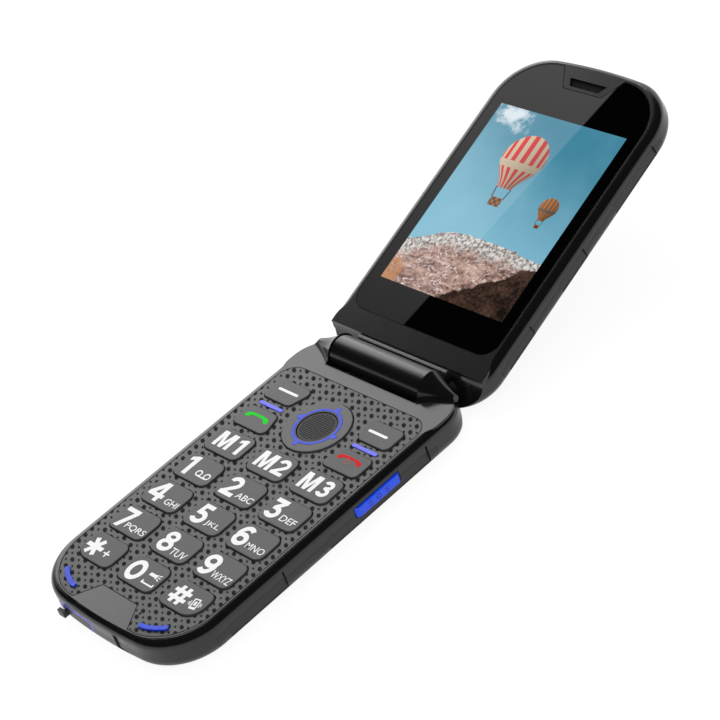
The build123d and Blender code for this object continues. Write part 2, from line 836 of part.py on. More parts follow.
with BuildPart() as sim_reader:
    extrude(footprint(0, sim_reach, board_top - board_t - sim_size[2], sim_size), amount=sim_size[2])
    with BuildSketch(Plane.XZ.offset(sim_reach + sim_size[1] / 2 - hinge_y)):
        with Locations((-sim_size[0] / 4, board_top - board_t - sim_size[2] / 2)):
            Rectangle(sim_size[0] / 2 - 3, sim_size[2] / 2)
        with Locations((sim_size[0] / 4, board_top - board_t - sim_size[2] / 2)):
            Rectangle(sim_size[0] / 2 - 3, sim_size[2] / 2)
    extrude(amount=-sim_size[1] + 1, mode=Mode.SUBTRACT)
    export(sim_reader.part, "sim_reader")

with BuildPart() as loudspeaker:
    extrude(footprint(speaker_x, speaker_reach, floor_t, speaker_size), amount=speaker_size[2])
    fillet(loudspeaker.edges().filter_by(Axis.Z), 2)
    export(loudspeaker.part, "loudspeaker")

with BuildPart() as microphone:
    extrude(footprint(*mic_hole, board_top, mic_size), amount=mic_size[2])
    with BuildSketch(Plane.XY.offset(board_top + mic_size[2] / 2)):
        with Locations(spot(*mic_hole)):
            Circle(mic_hole_r)
    extrude(amount=mic_size[2], mode=Mode.SUBTRACT)
    export(microphone.part, "microphone")

with BuildPart() as vibration_motor:
    with BuildSketch(Plane.XZ.offset(motor_reach - hinge_y - motor_l / 2)):
        with Locations((motor_x, motor_z)):
            Circle(motor_r)
    extrude(amount=motor_l)
    export(vibration_motor.part, "vibration_motor")

with BuildPart() as usb_socket:
    socket_top = board_top - board_t
    with BuildSketch(Plane.XZ.offset(half_reach - hinge_y - port_t - port_gap - usb_l)):
        with Locations((port_x, socket_top - usb_h / 2)):
            RectangleRounded(usb_w, usb_h, usb_h / 2 - 0.1)
    extrude(amount=usb_l)
    with BuildSketch(Plane.XZ.offset(half_reach - hinge_y - port_t - port_gap)):
        with Locations((port_x, socket_top - usb_h / 2)):
            RectangleRounded(usb_w - 2 * usb_wall, usb_h - 2 * usb_wall, usb_h / 2 - usb_wall - 0.1)
            Rectangle(usb_w - 6 * usb_wall, usb_tongue_t, mode=Mode.SUBTRACT)
    extrude(amount=-usb_l + 2 * usb_wall, mode=Mode.SUBTRACT)
    export(usb_socket.part, "usb_socket")

with BuildPart() as base_screws:
    with BuildSketch(Plane.XY.offset(screw_sink)):
        with Locations(base_screw_spots):
            Circle(screw_head_r)
    extrude(amount=screw_head_t)
    with BuildSketch(Plane.XY.offset(screw_sink + screw_head_t)):
        with Locations(base_screw_spots):
            Circle(screw_r)
    extrude(amount=post_top_z - 0.8 - screw_sink - screw_head_t)
    with BuildSketch(Plane.XY.offset(screw_sink)):
        with Locations(base_screw_spots):
            Rectangle(1.6 * screw_head_r, 0.35)
            Rectangle(0.35, 1.6 * screw_head_r)
    extrude(amount=screw_head_t / 2, mode=Mode.SUBTRACT)
    export(base_screws.part, "base_screws")

# ---------------------------------------------------------------- port cover
with BuildPart() as port_gasket:
    add(base_form.part)
    extrude(port_box(gasket_w, port_t - port_back_gap), amount=2 * port_t, mode=Mode.INTERSECT)
    extrude(port_box(0, port_t), amount=2 * port_t, mode=Mode.SUBTRACT)
    export(port_gasket.part, "port_gasket")

with BuildPart() as port_cover:
    add(base_form.part)
    extrude(port_box(0, port_t - port_back_gap), amount=2 * port_t, mode=Mode.INTERSECT)
    # finger tab on the end that opens, clear of the casing's surface
    root_x = port_x - port_w / 2 + pull_tab_root
    with BuildSketch(Plane.XY.offset(pull_tab_z - pull_tab[2] / 2)):
        with Locations(spot(root_x, half_reach - pull_tab_gap)):
            Rectangle(pull_tab[0], pull_tab[1], align=(Align.MAX, Align.MAX))
        with Locations(spot(root_x, half_reach - pull_tab_gap)):
            Rectangle(pull_tab_root / 2, port_t / 2, align=(Align.MAX, Align.MIN))
    extrude(amount=pull_tab[2])
    export(port_cover.part, "port_cover")

# ---------------------------------------------------------------- keypad plate, inlays and keys
with BuildPart() as keypad_plate:
    with BuildSketch(base_at(plate_z)):
        add(plate_plan)
        add(tab_plan(fit), mode=Mode.SUBTRACT)
    extrude(amount=plate_t)
    with BuildSketch(Plane.XY.offset(plate_z)):
        for outline, x, reach, _ in keys.values():
            with Locations(spot(x, reach)):
                add(inset(outline, -key_gap))
        with Locations(spot(0, nav_reach)):
            Circle(nav_r + key_gap)
        with Locations(spot(*mic_hole)):
            Circle(mic_hole_r)
    extrude(amount=plate_t, mode=Mode.SUBTRACT)
    # pockets for the blue inlays
    with BuildSketch(Plane.XY.offset(deck_z - inlay_t)):
        with Locations(spot(-bar_x, bar_reach), spot(bar_x, bar_reach)):
            RectangleRounded(bar_w + 2 * fit, bar_l + 2 * fit, bar_l / 2)
    extrude(amount=inlay_t, mode=Mode.SUBTRACT)
    export(keypad_plate.part, "keypad_plate")

with BuildPart() as accent_bars:
    with BuildSketch(Plane.XY.offset(deck_z - inlay_t)):
        with Locations(spot(-bar_x, bar_reach), spot(bar_x, bar_reach)):
            RectangleRounded(bar_w, bar_l, bar_l / 2 - 0.05)
    extrude(amount=inlay_t + bar_proud)
    export(accent_bars.part, "accent_bars")


with BuildPart() as corner_accents:
    with BuildSketch(Plane.XY.offset(deck_z)):
        for side in (-1, 1):
            with BuildLine():
                start = -arc_angles[0] if side > 0 else arc_angles[0] - 180
                turn = side * (arc_angles[0] - arc_angles[1])
                CenterArc(spot(side * arc_centre[0], arc_centre[1]), arc_r, start, turn)
            trace(line_width=arc_w)
    extrude(amount=arc_proud)
    export(corner_accents.part, "corner_accents")

for name, (outline, x, reach, plunger_x) in keys.items():
    with BuildPart() as key:
        with BuildSketch(Plane.XY.offset(flange_z)):
            with Locations(spot(x, reach)):
                add(inset(outline, -key_flange))
        extrude(amount=key_flange_t)
        with BuildSketch(Plane.XY.offset(flange_top_z)):
            with Locations(spot(x, reach)):
                add(outline)
        extrude(amount=key_top_z - flange_top_z)
        fillet(key.faces().sort_by(Axis.Z)[-1].edges(), key_edge_r)
        with BuildSketch(Plane.XY.offset(plunger_z)):
            with Locations(spot(plunger_x, reach)):
                Circle(plunger_r)
        extrude(amount=flange_z - plunger_z)
        export(key.part, name)

with BuildPart() as nav_ring:
    with BuildSketch(Plane.XY.offset(nav_flange_z[0])):
        with Locations(spot(0, nav_reach)):
            Circle(nav_flange_r)
            Circle(ok_flange_relief, mode=Mode.SUBTRACT)
    extrude(amount=nav_flange_z[1] - nav_flange_z[0])
    with BuildSketch(Plane.XY.offset(nav_flange_z[1])):
        with Locations(spot(0, nav_reach)):
            Circle(nav_r)
            Circle(ok_r + side_key_gap, mode=Mode.SUBTRACT)
    extrude(amount=key_top_z - nav_flange_z[1])
    top = nav_ring.faces().sort_by(Axis.Z)[-1]
    fillet(top.edges().sort_by(SortBy.LENGTH)[-1], key_edge_r)
    with BuildSketch(Plane.XY.offset(key_top_z - nav_trim_t)):
        with Locations(spot(0, nav_reach)):
            Circle(nav_trim_r[1] + fit)
            Circle(nav_trim_r[0] - fit, mode=Mode.SUBTRACT)
            with PolarLocations(nav_trim_nub_at, 4, start_angle=-nav_trim_turn):
                Circle(nav_trim_nub_r + fit)
    extrude(amount=nav_trim_t, mode=Mode.SUBTRACT)
    export(nav_ring.part, "nav_ring")

with BuildPart() as nav_gimbal:
    with BuildSketch(Plane.XY.offset(nav_flange_z[0])):
        with Locations(spot(0, nav_reach)):
            Circle(gimbal_r[1])
            Circle(gimbal_r[0], mode=Mode.SUBTRACT)
    extrude(amount=gimbal_t)
    export(nav_gimbal.part, "nav_gimbal")

with BuildPart() as nav_ring_trim:
    with BuildSketch(Plane.XY.offset(key_top_z - nav_trim_t)):
        with Locations(spot(0, nav_reach)):
            Circle(nav_trim_r[1])
            with PolarLocations(nav_trim_nub_at, 4, start_angle=-nav_trim_turn):
                Circle(nav_trim_nub_r)
            Circle(nav_trim_r[0], mode=Mode.SUBTRACT)
    extrude(amount=nav_trim_t + 0.05)
    export(nav_ring_trim.part, "nav_ring_trim")

with BuildPart() as ok_button:
    with BuildSketch(Plane.XY.offset(plunger_z)):
        with Locations(spot(0, nav_reach)):
            Circle(ok_flange_r)
    extrude(amount=ok_flange_t)
    with BuildSketch(Plane.XY.offset(plunger_z + ok_flange_t)):
        with Locations(spot(0, nav_reach)):
            Circle(ok_r)
    extrude(amount=key_top_z - ok_recess - plunger_z - ok_flange_t)
    fillet(ok_button.faces().sort_by(Axis.Z)[-1].edges(), key_edge_r)
    export(ok_button.part, "ok_button")

# ---------------------------------------------------------------- side keys
flange_x = half_width - wall - side_flange_gap - side_flange_t

with BuildPart() as sos_button:
    with BuildSketch(Plane.YZ.offset(flange_x)):
        with Locations((hinge_y - sos_reach, sos_z)):
            Rectangle(sos_l + 2 * side_flange, sos_h + 2 * side_flange)
    extrude(amount=side_flange_t)
    with BuildSketch(Plane.YZ.offset(flange_x + side_flange_t)):
        with Locations((hinge_y - sos_reach, sos_z)):
            Rectangle(sos_l, sos_h)
    extrude(amount=half_width - window_depth + sos_proud - flange_x - side_flange_t)
    outer_face = sos_button.faces().sort_by(Axis.X)[-1]
    chamfer(outer_face.edges().filter_by(Axis.Z), sos_chamfer)
    outer_face = sos_button.faces().sort_by(Axis.X)[-1]
    fillet(outer_face.edges(), sos_edge_r)
    export(sos_button.part, "sos_button")

with BuildPart() as volume_key:
    with BuildSketch(Plane.YZ.offset(-flange_x)):
        with Locations((hinge_y - volume_reach, sos_z)):
            Rectangle(volume_flange_l, volume_h + 2 * side_flange)
    extrude(amount=-side_flange_t)
    with BuildSketch(Plane.YZ.offset(-flange_x - side_flange_t)):
        with Locations((hinge_y - volume_reach, sos_z)):
            Rectangle(volume_l, volume_h)
    extrude(amount=-(half_width - window_depth + volume_proud - flange_x - side_flange_t))
    fillet(volume_key.faces().sort_by(Axis.X)[0].edges(), sos_edge_r)
    export(volume_key.part, "volume_key")

# ---------------------------------------------------------------- hinge
with BuildPart() as hinge_pins:
    for side in (-1, 1):
        with BuildSketch(Plane.YZ.offset(side * (barrel_half - pin_engagement))):
            with Locations((hinge_y, hinge_z)):
                Circle(pin_r)
        extrude(amount=side * (pin_engagement + barrel_gap + pin_depth))
    export(hinge_pins.part, "hinge_pins")

with BuildPart() as hinge_cartridge:
    with BuildSketch(Plane.YZ.offset(-barrel_half)):
        with Locations((hinge_y, hinge_z)):
            Circle(cartridge_r)
    extrude(amount=cartridge_l)
    with BuildSketch(Plane.YZ.offset(-barrel_half)):
        with Locations((hinge_y, hinge_z)):
            Circle(pin_r + pin_fit)
    extrude(amount=pin_engagement + 0.5, mode=Mode.SUBTRACT)
    export(hinge_cartridge.part, "hinge_cartridge")

with BuildPart() as display_flex:
    with BuildSketch(Plane.YZ.offset(cartridge_l - barrel_half + 1)):
        with Locations((hinge_y, hinge_z)):
            Circle(cartridge_r - 2 * fit)
            Circle(cartridge_r - 2 * fit - flex_t, mode=Mode.SUBTRACT)
    extrude(amount=flex_coil_l)
    export(display_flex.part, "display_flex")

# ---------------------------------------------------------------- lid casing
with BuildPart() as lid_front_frame:
    add(lid_form.part)
    split(bisect_by=lid_at(lid_parting), keep=Keep.TOP)
    with BuildSketch(lid_at(lid_parting)):
        add(inner_plan(lid_plan, lid_cavity_near))
    extrude(amount=lid_parting - glass_t - glass_ledge_t, mode=Mode.SUBTRACT)
    with BuildSketch(lid_at(glass_t + glass_ledge_t)):
        add(inset(glass_plan, glass_ledge_w))
        add(tab_plan(tab_rib), mode=Mode.SUBTRACT)
    extrude(amount=glass_ledge_t, mode=Mode.SUBTRACT)
    with BuildSketch(lid_at(glass_t)):
        add(inset(glass_plan, -fit))
        add(tab_plan(0), mode=Mode.SUBTRACT)
    extrude(amount=glass_t, mode=Mode.SUBTRACT)
    # neck and hinge barrel
    with BuildSketch(lid_at(lid_parting)):
        with Locations((0, neck_reach / 2)):
            Rectangle(2 * barrel_half, neck_reach)
    extrude(amount=lid_parting - neck_top_drop)
    with BuildSketch(Plane.YZ):
        with Locations((hinge_y, hinge_z)):
            Circle(barrel_r)
    extrude(amount=barrel_half, both=True)
    with BuildSketch(Plane.YZ.offset(-barrel_half)):
        with Locations((hinge_y, hinge_z)):
            Circle(cartridge_r + fit)
    extrude(amount=cartridge_l + flex_coil_l + 2, mode=Mode.SUBTRACT)
    with BuildSketch(Plane.YZ):
        with Locations((hinge_y, hinge_z)):
            Circle(pin_r + pin_fit)
    extrude(amount=barrel_half, mode=Mode.SUBTRACT)
    # earpiece slot through the tab
    with BuildSketch(lid_at(glass_t + glass_ledge_t)):
        with BuildLine():
            Polyline(
                (-slot_half[1], slot_reach[1]),
                (-slot_half[0], slot_reach[0]),
                (slot_half[0], slot_reach[0]),
                (slot_half[1], slot_reach[1]),
                close=True,
            )
        make_face()
    extrude(amount=glass_t + glass_ledge_t, mode=Mode.SUBTRACT)
    # posts that take the screws
    with BuildSketch(lid_at(lid_parting)):
        with Locations(lid_far_spots):
            Circle(lid_post_r)
    extrude(amount=lid_parting - glass_t - glass_ledge_t)
    with BuildSketch(lid_at(lid_parting)):
        with Locations(lid_screw_spots):
            Circle(screw_r + screw_play)
    extrude(amount=lid_parting - glass_t - glass_ledge_t, mode=Mode.SUBTRACT)
    export(lid_front_frame.part, "lid_front_frame")

with BuildPart() as lid_back_shell:
    add(lid_form.part)
    split(bisect_by=lid_at(lid_parting), keep=Keep.BOTTOM)
    with BuildSketch(lid_at(lid_t - lid_floor_t)):
        add(inner_plan(lid_plan, lid_back_cavity_near))
    extrude(amount=lid_t - lid_floor_t - lid_parting, mode=Mode.SUBTRACT)
    with BuildSketch(lid_at(lid_t - lid_floor_t)):
        with Locations(lid_screw_spots):
            Circle(boss_r)
    extrude(amount=lid_t - lid_floor_t - lid_parting)
    with BuildSketch(lid_at(lid_t)):
        with Locations(lid_screw_spots):
            Circle(screw_head_r + fit)
    extrude(amount=screw_sink + screw_head_t, mode=Mode.SUBTRACT)
    with BuildSketch(lid_at(lid_t)):
        with Locations(lid_screw_spots):
            Circle(screw_r + screw_play)
    extrude(amount=lid_t - lid_parting, mode=Mode.SUBTRACT)
    # camera and flash openings
    with BuildSketch(lid_at(lid_t)):
        with Locations((0, camera_reach)):
            Circle(camera_r + fit)
    extrude(amount=camera_window_t, mode=Mode.SUBTRACT)
    with BuildSketch(lid_at(lid_t)):
        with Locations((0, camera_reach)):
            Circle(camera_r - 1)
        with Locations((flash_x, camera_reach)):
            Circle(flash_r + fit)
    extrude(amount=lid_floor_t, mode=Mode.SUBTRACT)
    # slots for the side guards
    with BuildSketch(lid_at(lid_guard_drop[1] + fit)):
        for side in (-1, 1):
            with Locations((side * half_width, sum(guard_reach) / 2)):
                Rectangle(2 * (guard_depth + fit), guard_reach[1] - guard_reach[0] + 2 * fit)
    extrude(amount=lid_guard_drop[1] - lid_guard_drop[0] + 2 * fit, mode=Mode.SUBTRACT)
    export(lid_back_shell.part, "lid_back_shell")

with BuildPart() as lid_guards:
    add(lid_form.part)
    with BuildSketch(lid_at(lid_guard_drop[1])):
        for side in (-1, 1):
            with Locations((side * half_width, sum(guard_reach) / 2)):
                Rectangle(2 * guard_depth, guard_reach[1] - guard_reach[0])
    extrude(amount=lid_guard_drop[1] - lid_guard_drop[0], mode=Mode.INTERSECT)
    export(lid_guards.part, "lid_guards")

with BuildPart() as hinge_strip:
    with BuildSketch(lid_at(neck_top_drop)):
        with Locations((0, sum(strip_reach) / 2)):
            Rectangle(2 * strip_half, strip_reach[1] - strip_reach[0])
    extrude(amount=strip_t)
    fillet(hinge_strip.edges().filter_by(Axis.X).group_by(lid_axis)[-1], 0.2)
    export(hinge_strip.part, "hinge_strip")

# ---------------------------------------------------------------- display and the lid's insides
with BuildPart() as display_glass:
    with BuildSketch(lid_at(glass_t)):
        add(glass_plan)
        add(tab_plan(fit), mode=Mode.SUBTRACT)
    extrude(amount=glass_t)
    export(display_glass.part, "display_glass")


def lid_footprint(x, reach, drop, size):
    """Rectangle in the lid that size[2] of thickness brings up to drop."""
    with BuildSketch(lid_at(drop + size[2]), mode=Mode.PRIVATE) as rectangle:
        with Locations((x, reach)):
            Rectangle(size[0], size[1])
    return rectangle.sketch


with BuildPart() as display_module:
    module_l = module_end_reach - module_near_reach
    module_reach = (module_end_reach + module_near_reach) / 2
    module_size = (module_w, module_l, module_t)
    extrude(lid_footprint(0, module_reach, glass_t + module_gap, module_size), amount=module_t)
    export(display_module.part, "display_module")

with BuildPart() as lid_board:
    board_l = lid_board_reach[1] - lid_board_reach[0]
    board_drop = glass_t + module_gap + module_t + lid_board_gap
    board_size = (2 * lid_board_half_width, board_l, lid_board_t)
    extrude(lid_footprint(0, sum(lid_board_reach) / 2, board_drop, board_size), amount=lid_board_t)
    export(lid_board.part, "lid_board")

with BuildPart() as earpiece_mesh:
    with BuildSketch(lid_at(slot_mesh_drop + slot_mesh_t)):
        with BuildLine():
            Polyline(
                (-slot_half[1] + fit, slot_reach[1] - fit),
                (-slot_half[0] + fit, slot_reach[0] + fit),
                (slot_half[0] - fit, slot_reach[0] + fit),
                (slot_half[1] - fit, slot_reach[1] - fit),
                close=True,
            )
        make_face()
    extrude(amount=slot_mesh_t)
    export(earpiece_mesh.part, "earpiece_mesh")

with BuildPart() as earpiece:
    earpiece_drop = glass_t + glass_ledge_t + fit
    earpiece_plan = lid_footprint(0, sum(slot_reach) / 2, earpiece_drop, earpiece_size)
    extrude(earpiece_plan, amount=earpiece_size[2])
    export(earpiece.part, "earpiece")

with BuildPart() as camera_window:
    with BuildSketch(lid_at(lid_t)):
        with Locations((0, camera_reach)):
            Circle(camera_r)
    extrude(amount=camera_window_t - fit)
    export(camera_window.part, "camera_window")

with BuildPart() as camera_module:
    module_drop = lid_t - lid_floor_t - camera_module_size[2]
    module_plan = lid_footprint(0, camera_reach, module_drop, camera_module_size)
    extrude(module_plan, amount=camera_module_size[2])
    export(camera_module.part, "camera_module")

with BuildPart() as flash_lens:
    with BuildSketch(lid_at(lid_t)):
        with Locations((flash_x, camera_reach)):
            Circle(flash_r)
    extrude(amount=flash_t)
    export(flash_lens.part, "flash_lens")

with BuildPart() as lid_screws:
    with BuildSketch(lid_at(lid_t - screw_sink)):
        with Locations(lid_screw_spots):
            Circle(screw_head_r)
    extrude(amount=screw_head_t)
    with BuildSketch(lid_at(lid_t - screw_sink - screw_head_t)):
        with Locations(lid_screw_spots):
            Circle(screw_r)
    extrude(amount=lid_t - screw_sink - screw_head_t - glass_t - glass_ledge_t - 0.3)
    with BuildSketch(lid_at(lid_t - screw_sink)):
        with Locations(lid_screw_spots):
            Rectangle(1.6 * screw_head_r, 0.35)
            Rectangle(0.35, 1.6 * screw_head_r)
    extrude(amount=screw_head_t / 2, mode=Mode.SUBTRACT)
    export(lid_screws.part, "lid_screws")
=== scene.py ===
"""Flip phone: finishes, printing, lettering and the display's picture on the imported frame."""
import json
import math

import bmesh
import bpy
from mathutils import Matrix, Vector
from mathutils.geometry import delaunay_2d_cdt


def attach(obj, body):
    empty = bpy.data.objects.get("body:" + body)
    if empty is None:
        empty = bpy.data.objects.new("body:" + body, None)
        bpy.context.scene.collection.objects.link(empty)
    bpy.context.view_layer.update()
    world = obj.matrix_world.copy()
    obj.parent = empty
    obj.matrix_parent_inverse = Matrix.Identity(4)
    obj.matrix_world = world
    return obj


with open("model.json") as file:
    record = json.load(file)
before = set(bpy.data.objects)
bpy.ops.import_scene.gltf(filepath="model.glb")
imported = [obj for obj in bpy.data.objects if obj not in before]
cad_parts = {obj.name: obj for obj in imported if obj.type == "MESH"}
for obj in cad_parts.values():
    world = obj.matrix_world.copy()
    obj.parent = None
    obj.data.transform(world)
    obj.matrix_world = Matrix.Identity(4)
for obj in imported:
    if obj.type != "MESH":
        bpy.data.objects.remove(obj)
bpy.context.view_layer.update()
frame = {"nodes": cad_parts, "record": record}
nodes = frame["nodes"]

# ---------------------------------------------------------------- places, in mm
# A reach is a distance from the hinge axis, along the base or along the lid.
joints = {joint["name"]: joint for joint in frame["record"]["behaviour"]["joints"]}
HINGE = Vector([1000 * c for c in joints["lid_hinge"]["pos_m"]])
TILT = math.radians(180 - joints["lid_hinge"]["range_deg"][1])
RING_REACH = HINGE.y - 1000 * joints["nav_up_down"]["pos_m"][1]
LID_FACE_DROP = 1.4     # from the hinge axis down to the lid's face
KEY_TOP = 9.0           # height of the keys' tops
DECK = 8.6              # height of the casing and the keypad plate round the keys
SOS_FACE = 28.40        # how far out the emergency key's face is
INK = 0.03              # thickness of a printed layer
EMBOSS = 0.08           # thickness of a raised letter
PAINTED_SHADE_LINE = (0.2, 0.02)  # width and thickness of a dark line that is painted shade, standing for the shadow in a gap

# local x to the right, local y towards the hinge, local z up, origin below the hinge axis
BASE = Matrix.Translation(Vector((0, HINGE.y, 0)))
# local x to the right, local y away from the hinge, local z out of the lid's face
LID = (Matrix.Translation(HINGE) @ Matrix.Rotation(TILT, 4, "X")
       @ Matrix.Translation((0, 0, -LID_FACE_DROP)))
# local x along the right wall towards the hinge, local y up, local z outwards
SIDE = BASE @ Matrix(((0, 0, 1, 0), (1, 0, 0, 0), (0, 1, 0, 0), (0, 0, 0, 1)))


# ---------------------------------------------------------------- shader graphs
class Value:
    """A number or a socket of a material's node tree, with arithmetic."""

    def __init__(self, graph, socket):
        self.graph, self.socket = graph, socket

    def _op(self, kind, *others, swap=False):
        args = [self, *others]
        if swap:
            args.reverse()
        return self.graph.math(kind, *args)

    def __add__(self, other):
        return self._op("ADD", other)

    __radd__ = __add__

    def __sub__(self, other):
        return self._op("SUBTRACT", other)

    def __rsub__(self, other):
        return self._op("SUBTRACT", other, swap=True)

    def __mul__(self, other):
        return self._op("MULTIPLY", other)

    __rmul__ = __mul__

    def __truediv__(self, other):
        return self._op("DIVIDE", other)

    def abs(self):
        return self._op("ABSOLUTE")

    def max(self, other):
        return self._op("MAXIMUM", other)

    def min(self, other):
        return self._op("MINIMUM", other)

    def sin(self):
        return self._op("SINE")

    def sqrt(self):
        return self._op("SQRT")

    def from_nearest(self):
        """Signed distance to the nearest whole number."""
        return self - self._op("ROUND")

    def step(self, low, high):
        """0 below low, 1 above high, smooth between. low may be the larger one."""
        if low > high:
            return 1 - self.step(high, low)
        return self.graph.ramp(self, low, high)


class Graph:
    """A material's node tree with a Principled shader at its end."""

    def __init__(self, tree):
        self.tree = tree
        tree.nodes.clear()

    def add(self, kind, **settings):
        made = self.tree.nodes.new(kind)
        for key, value in settings.items():
            setattr(made, key, value)
        return made

    def put(self, socket, value):
        if isinstance(value, Value):
            self.tree.links.new(value.socket, socket)
        elif isinstance(value, (tuple, list)) and socket.type == "RGBA":
            socket.default_value = (*value[:3], 1)
        else:
            socket.default_value = value

    def math(self, kind, *args):
        made = self.add("ShaderNodeMath", operation=kind)
        for socket, value in zip(made.inputs, args):
            self.put(socket, value)
        return Value(self, made.outputs[0])

    def ramp(self, value, low, high, start=0.0, end=1.0, smooth=True):
        made = self.add("ShaderNodeMapRange", interpolation_type="SMOOTHSTEP" if smooth else "LINEAR")
        for name, given in (("Value", value), ("From Min", low), ("From Max", high),
                            ("To Min", start), ("To Max", end)):
            self.put(made.inputs[name], given)
        return Value(self, made.outputs["Result"])

    def mix(self, share, first, second):
        made = self.add("ShaderNodeMix", data_type="RGBA")
        self.put(made.inputs[0], share)
        self.put(made.inputs[6], first)
        self.put(made.inputs[7], second)
        return Value(self, made.outputs[2])

    def noise(self, size, detail=2.0, roughness=0.5, stretch=None):
        """Noise whose features are about size mm across, from 0 to 1."""
        made = self.add("ShaderNodeTexNoise")
        made.inputs["Scale"].default_value = 1000 / size
        made.inputs["Detail"].default_value = detail
        made.inputs["Roughness"].default_value = roughness
        spot = self.place
        if stretch:
            mapping = self.add("ShaderNodeMapping")
            self.put(mapping.inputs["Vector"], spot)
            mapping.inputs["Scale"].default_value = stretch
            spot = Value(self, mapping.outputs[0])
        self.put(made.inputs["Vector"], spot)
        return Value(self, made.outputs[0])

    def cells(self, size):
        """Distance to the nearest of points about size mm apart."""
        made = self.add("ShaderNodeTexVoronoi")
        made.inputs["Scale"].default_value = 1000 / size
        self.put(made.inputs["Vector"], self.place)
        return Value(self, made.outputs[0])

    @property
    def place(self):
        """The point of the object, in metres."""
        if not hasattr(self, "_place"):
            self._place = Value(self, self.add("ShaderNodeTexCoord").outputs["Object"])
        return self._place

    def axes(self):
        """x, y and z in mm."""
        if not hasattr(self, "_axes"):
            split = self.add("ShaderNodeSeparateXYZ")
            self.put(split.inputs[0], self.place)
            self._axes = [Value(self, out) * 1000 for out in split.outputs]
        return self._axes

    def facing(self, axis):
        """The surface normal's share along x, y or z."""
        split = self.add("ShaderNodeSeparateXYZ")
        self.put(split.inputs[0], Value(self, self.add("ShaderNodeNewGeometry").outputs["Normal"]))
        return Value(self, split.outputs[axis])

    def bump(self, height, mm):
        made = self.add("ShaderNodeBump")
        made.inputs["Distance"].default_value = mm / 1000
        self.put(made.inputs["Height"], height)
        return Value(self, made.outputs[0])


open_graphs = {}


def start(name):
    """A new material's empty graph, which finish(name) ends."""
    material = bpy.data.materials.new(name)
    material.use_nodes = True
    graph = Graph(material.node_tree)
    open_graphs[name] = (graph, material)
    return graph


def finish(name, colour, roughness, normal=None, metallic=0.0, coat=0.0, **more):
    """Ends a graph made by start(name). colour and roughness are numbers or graph values, and
    more holds the shader's other sockets, with _ for each space in a name."""
    graph, material = open_graphs.pop(name)
    shader = graph.add("ShaderNodeBsdfPrincipled")
    graph.put(shader.inputs["Base Color"], colour)
    graph.put(shader.inputs["Roughness"], roughness)
    shader.inputs["Metallic"].default_value = metallic
    shader.inputs["Coat Weight"].default_value = coat
    shader.inputs["Coat Roughness"].default_value = 0.04
    if normal:
        graph.put(shader.inputs["Normal"], normal)
    for key, value in more.items():
        graph.put(shader.inputs[key.replace("_", " ")], value)
    out = graph.add("ShaderNodeOutputMaterial")
    graph.tree.links.new(shader.outputs[0], out.inputs["Surface"])
    return material


def grey(level, tint=1.0):
    return (level, level, level * tint)


def shade(colour, factor):
    return tuple(min(1.0, c * factor) for c in colour)


def rgb(red, green, blue):
    """An 8-bit display colour as the linear colour that a shader takes."""
    return tuple(((c / 255 + 0.055) / 1.055) ** 2.4 if c > 10 else c / 255 / 12.92
                 for c in (red, green, blue))


def moulded(name, colour, roughness, grain=0.22, relief=0.012, vary=0.10, **more):
    """Moulded plastic or rubber: fine spark-eroded grain, faint broad tone and handling marks."""
    g = start(name)
    broad = g.noise(14, 3)
    fine = g.noise(grain, 1.5, 0.6)
    wear = g.noise(5, 4, 0.65, stretch=(1, 0.35, 1)).step(0.52, 0.75)
    tone = broad * 0.7 + fine * 0.3
    return finish(name, g.mix(tone, shade(colour, 1 - vary), shade(colour, 1 + vary)),
                  roughness + (fine - 0.5) * 0.10 - wear * 0.05,
                  g.bump(fine, relief), **more)


def brushed(name, colour, roughness, along=(1, 0.06, 0.06)):
    """Bare sheet or turned metal: fine drawing lines and a little tarnish."""
    g = start(name)
    lines = g.noise(0.12, 2, 0.6, stretch=along)
    stain = g.noise(4, 4, 0.6)
    return finish(name, g.mix(stain, shade(colour, 0.82), shade(colour, 1.08)),
                  roughness + lines * 0.12 + stain * 0.06, g.bump(lines, 0.004), metallic=1.0)


# ---------------------------------------------------------------- finishes
case = moulded("case_plastic", grey(0.006, 1.02), 0.19, relief=0.002)
case_under = moulded("case_under_plastic", grey(0.009, 1.02), 0.36, grain=0.35, relief=0.02)
rubber = moulded("guard_rubber", grey(0.006, 1.05), 0.42, grain=0.18, relief=0.008, vary=0.16)
key_plastic = moulded("key_plastic", grey(0.047, 1.02), 0.44, grain=0.3, relief=0.006, vary=0.08)
ring_plastic = moulded("ring_plastic", grey(0.060, 1.02), 0.44, grain=0.3, relief=0.006, vary=0.08)
sheet_black = moulded("matte_black", grey(0.014), 0.6)
steel = brushed("bare_steel", (0.55, 0.55, 0.56), 0.28)
dull_steel = brushed("dark_steel", (0.22, 0.22, 0.23), 0.34)
nickel = brushed("nickel_plate", (0.62, 0.60, 0.56), 0.22, along=(0.2, 1, 0.2))
gold = brushed("gold_plate", (0.83, 0.62, 0.28), 0.2)
blue_accent = moulded("accent_blue", rgb(84, 90, 236), 0.36, grain=0.5, relief=0.002, vary=0.07)
blue_deep = moulded("trim_blue", rgb(14, 56, 206), 0.46, grain=0.5, relief=0.002, vary=0.08)
blue_button = moulded("sos_blue", rgb(15, 80, 255), 0.30, grain=0.4, relief=0.003, vary=0.08)
# painted shade: a darker blue for the raised SOS letters, which are moulded in the key's own blue
sos_letter_painted_shade = moulded("sos_letter_painted_shade", rgb(10, 44, 176), 0.4, grain=0.4, relief=0.002, vary=0.08)
white_ink = moulded("white_ink", grey(0.92), 0.6, grain=0.15, relief=0.002, vary=0.02)
green_ink = moulded("green_ink", rgb(8, 214, 34), 0.6, grain=0.15, relief=0.004, vary=0.04,
                    Specular_IOR_Level=0.15)
red_ink = moulded("red_ink", rgb(214, 6, 10), 0.6, grain=0.15, relief=0.004, vary=0.04,
                  Specular_IOR_Level=0.15)
# painted shade: near-black for the dark lines that stand for the shadow in gaps
painted_gap_shade = moulded("painted_gap_shade", grey(0.002), 0.9, grain=0.3, relief=0.002, vary=0.2)
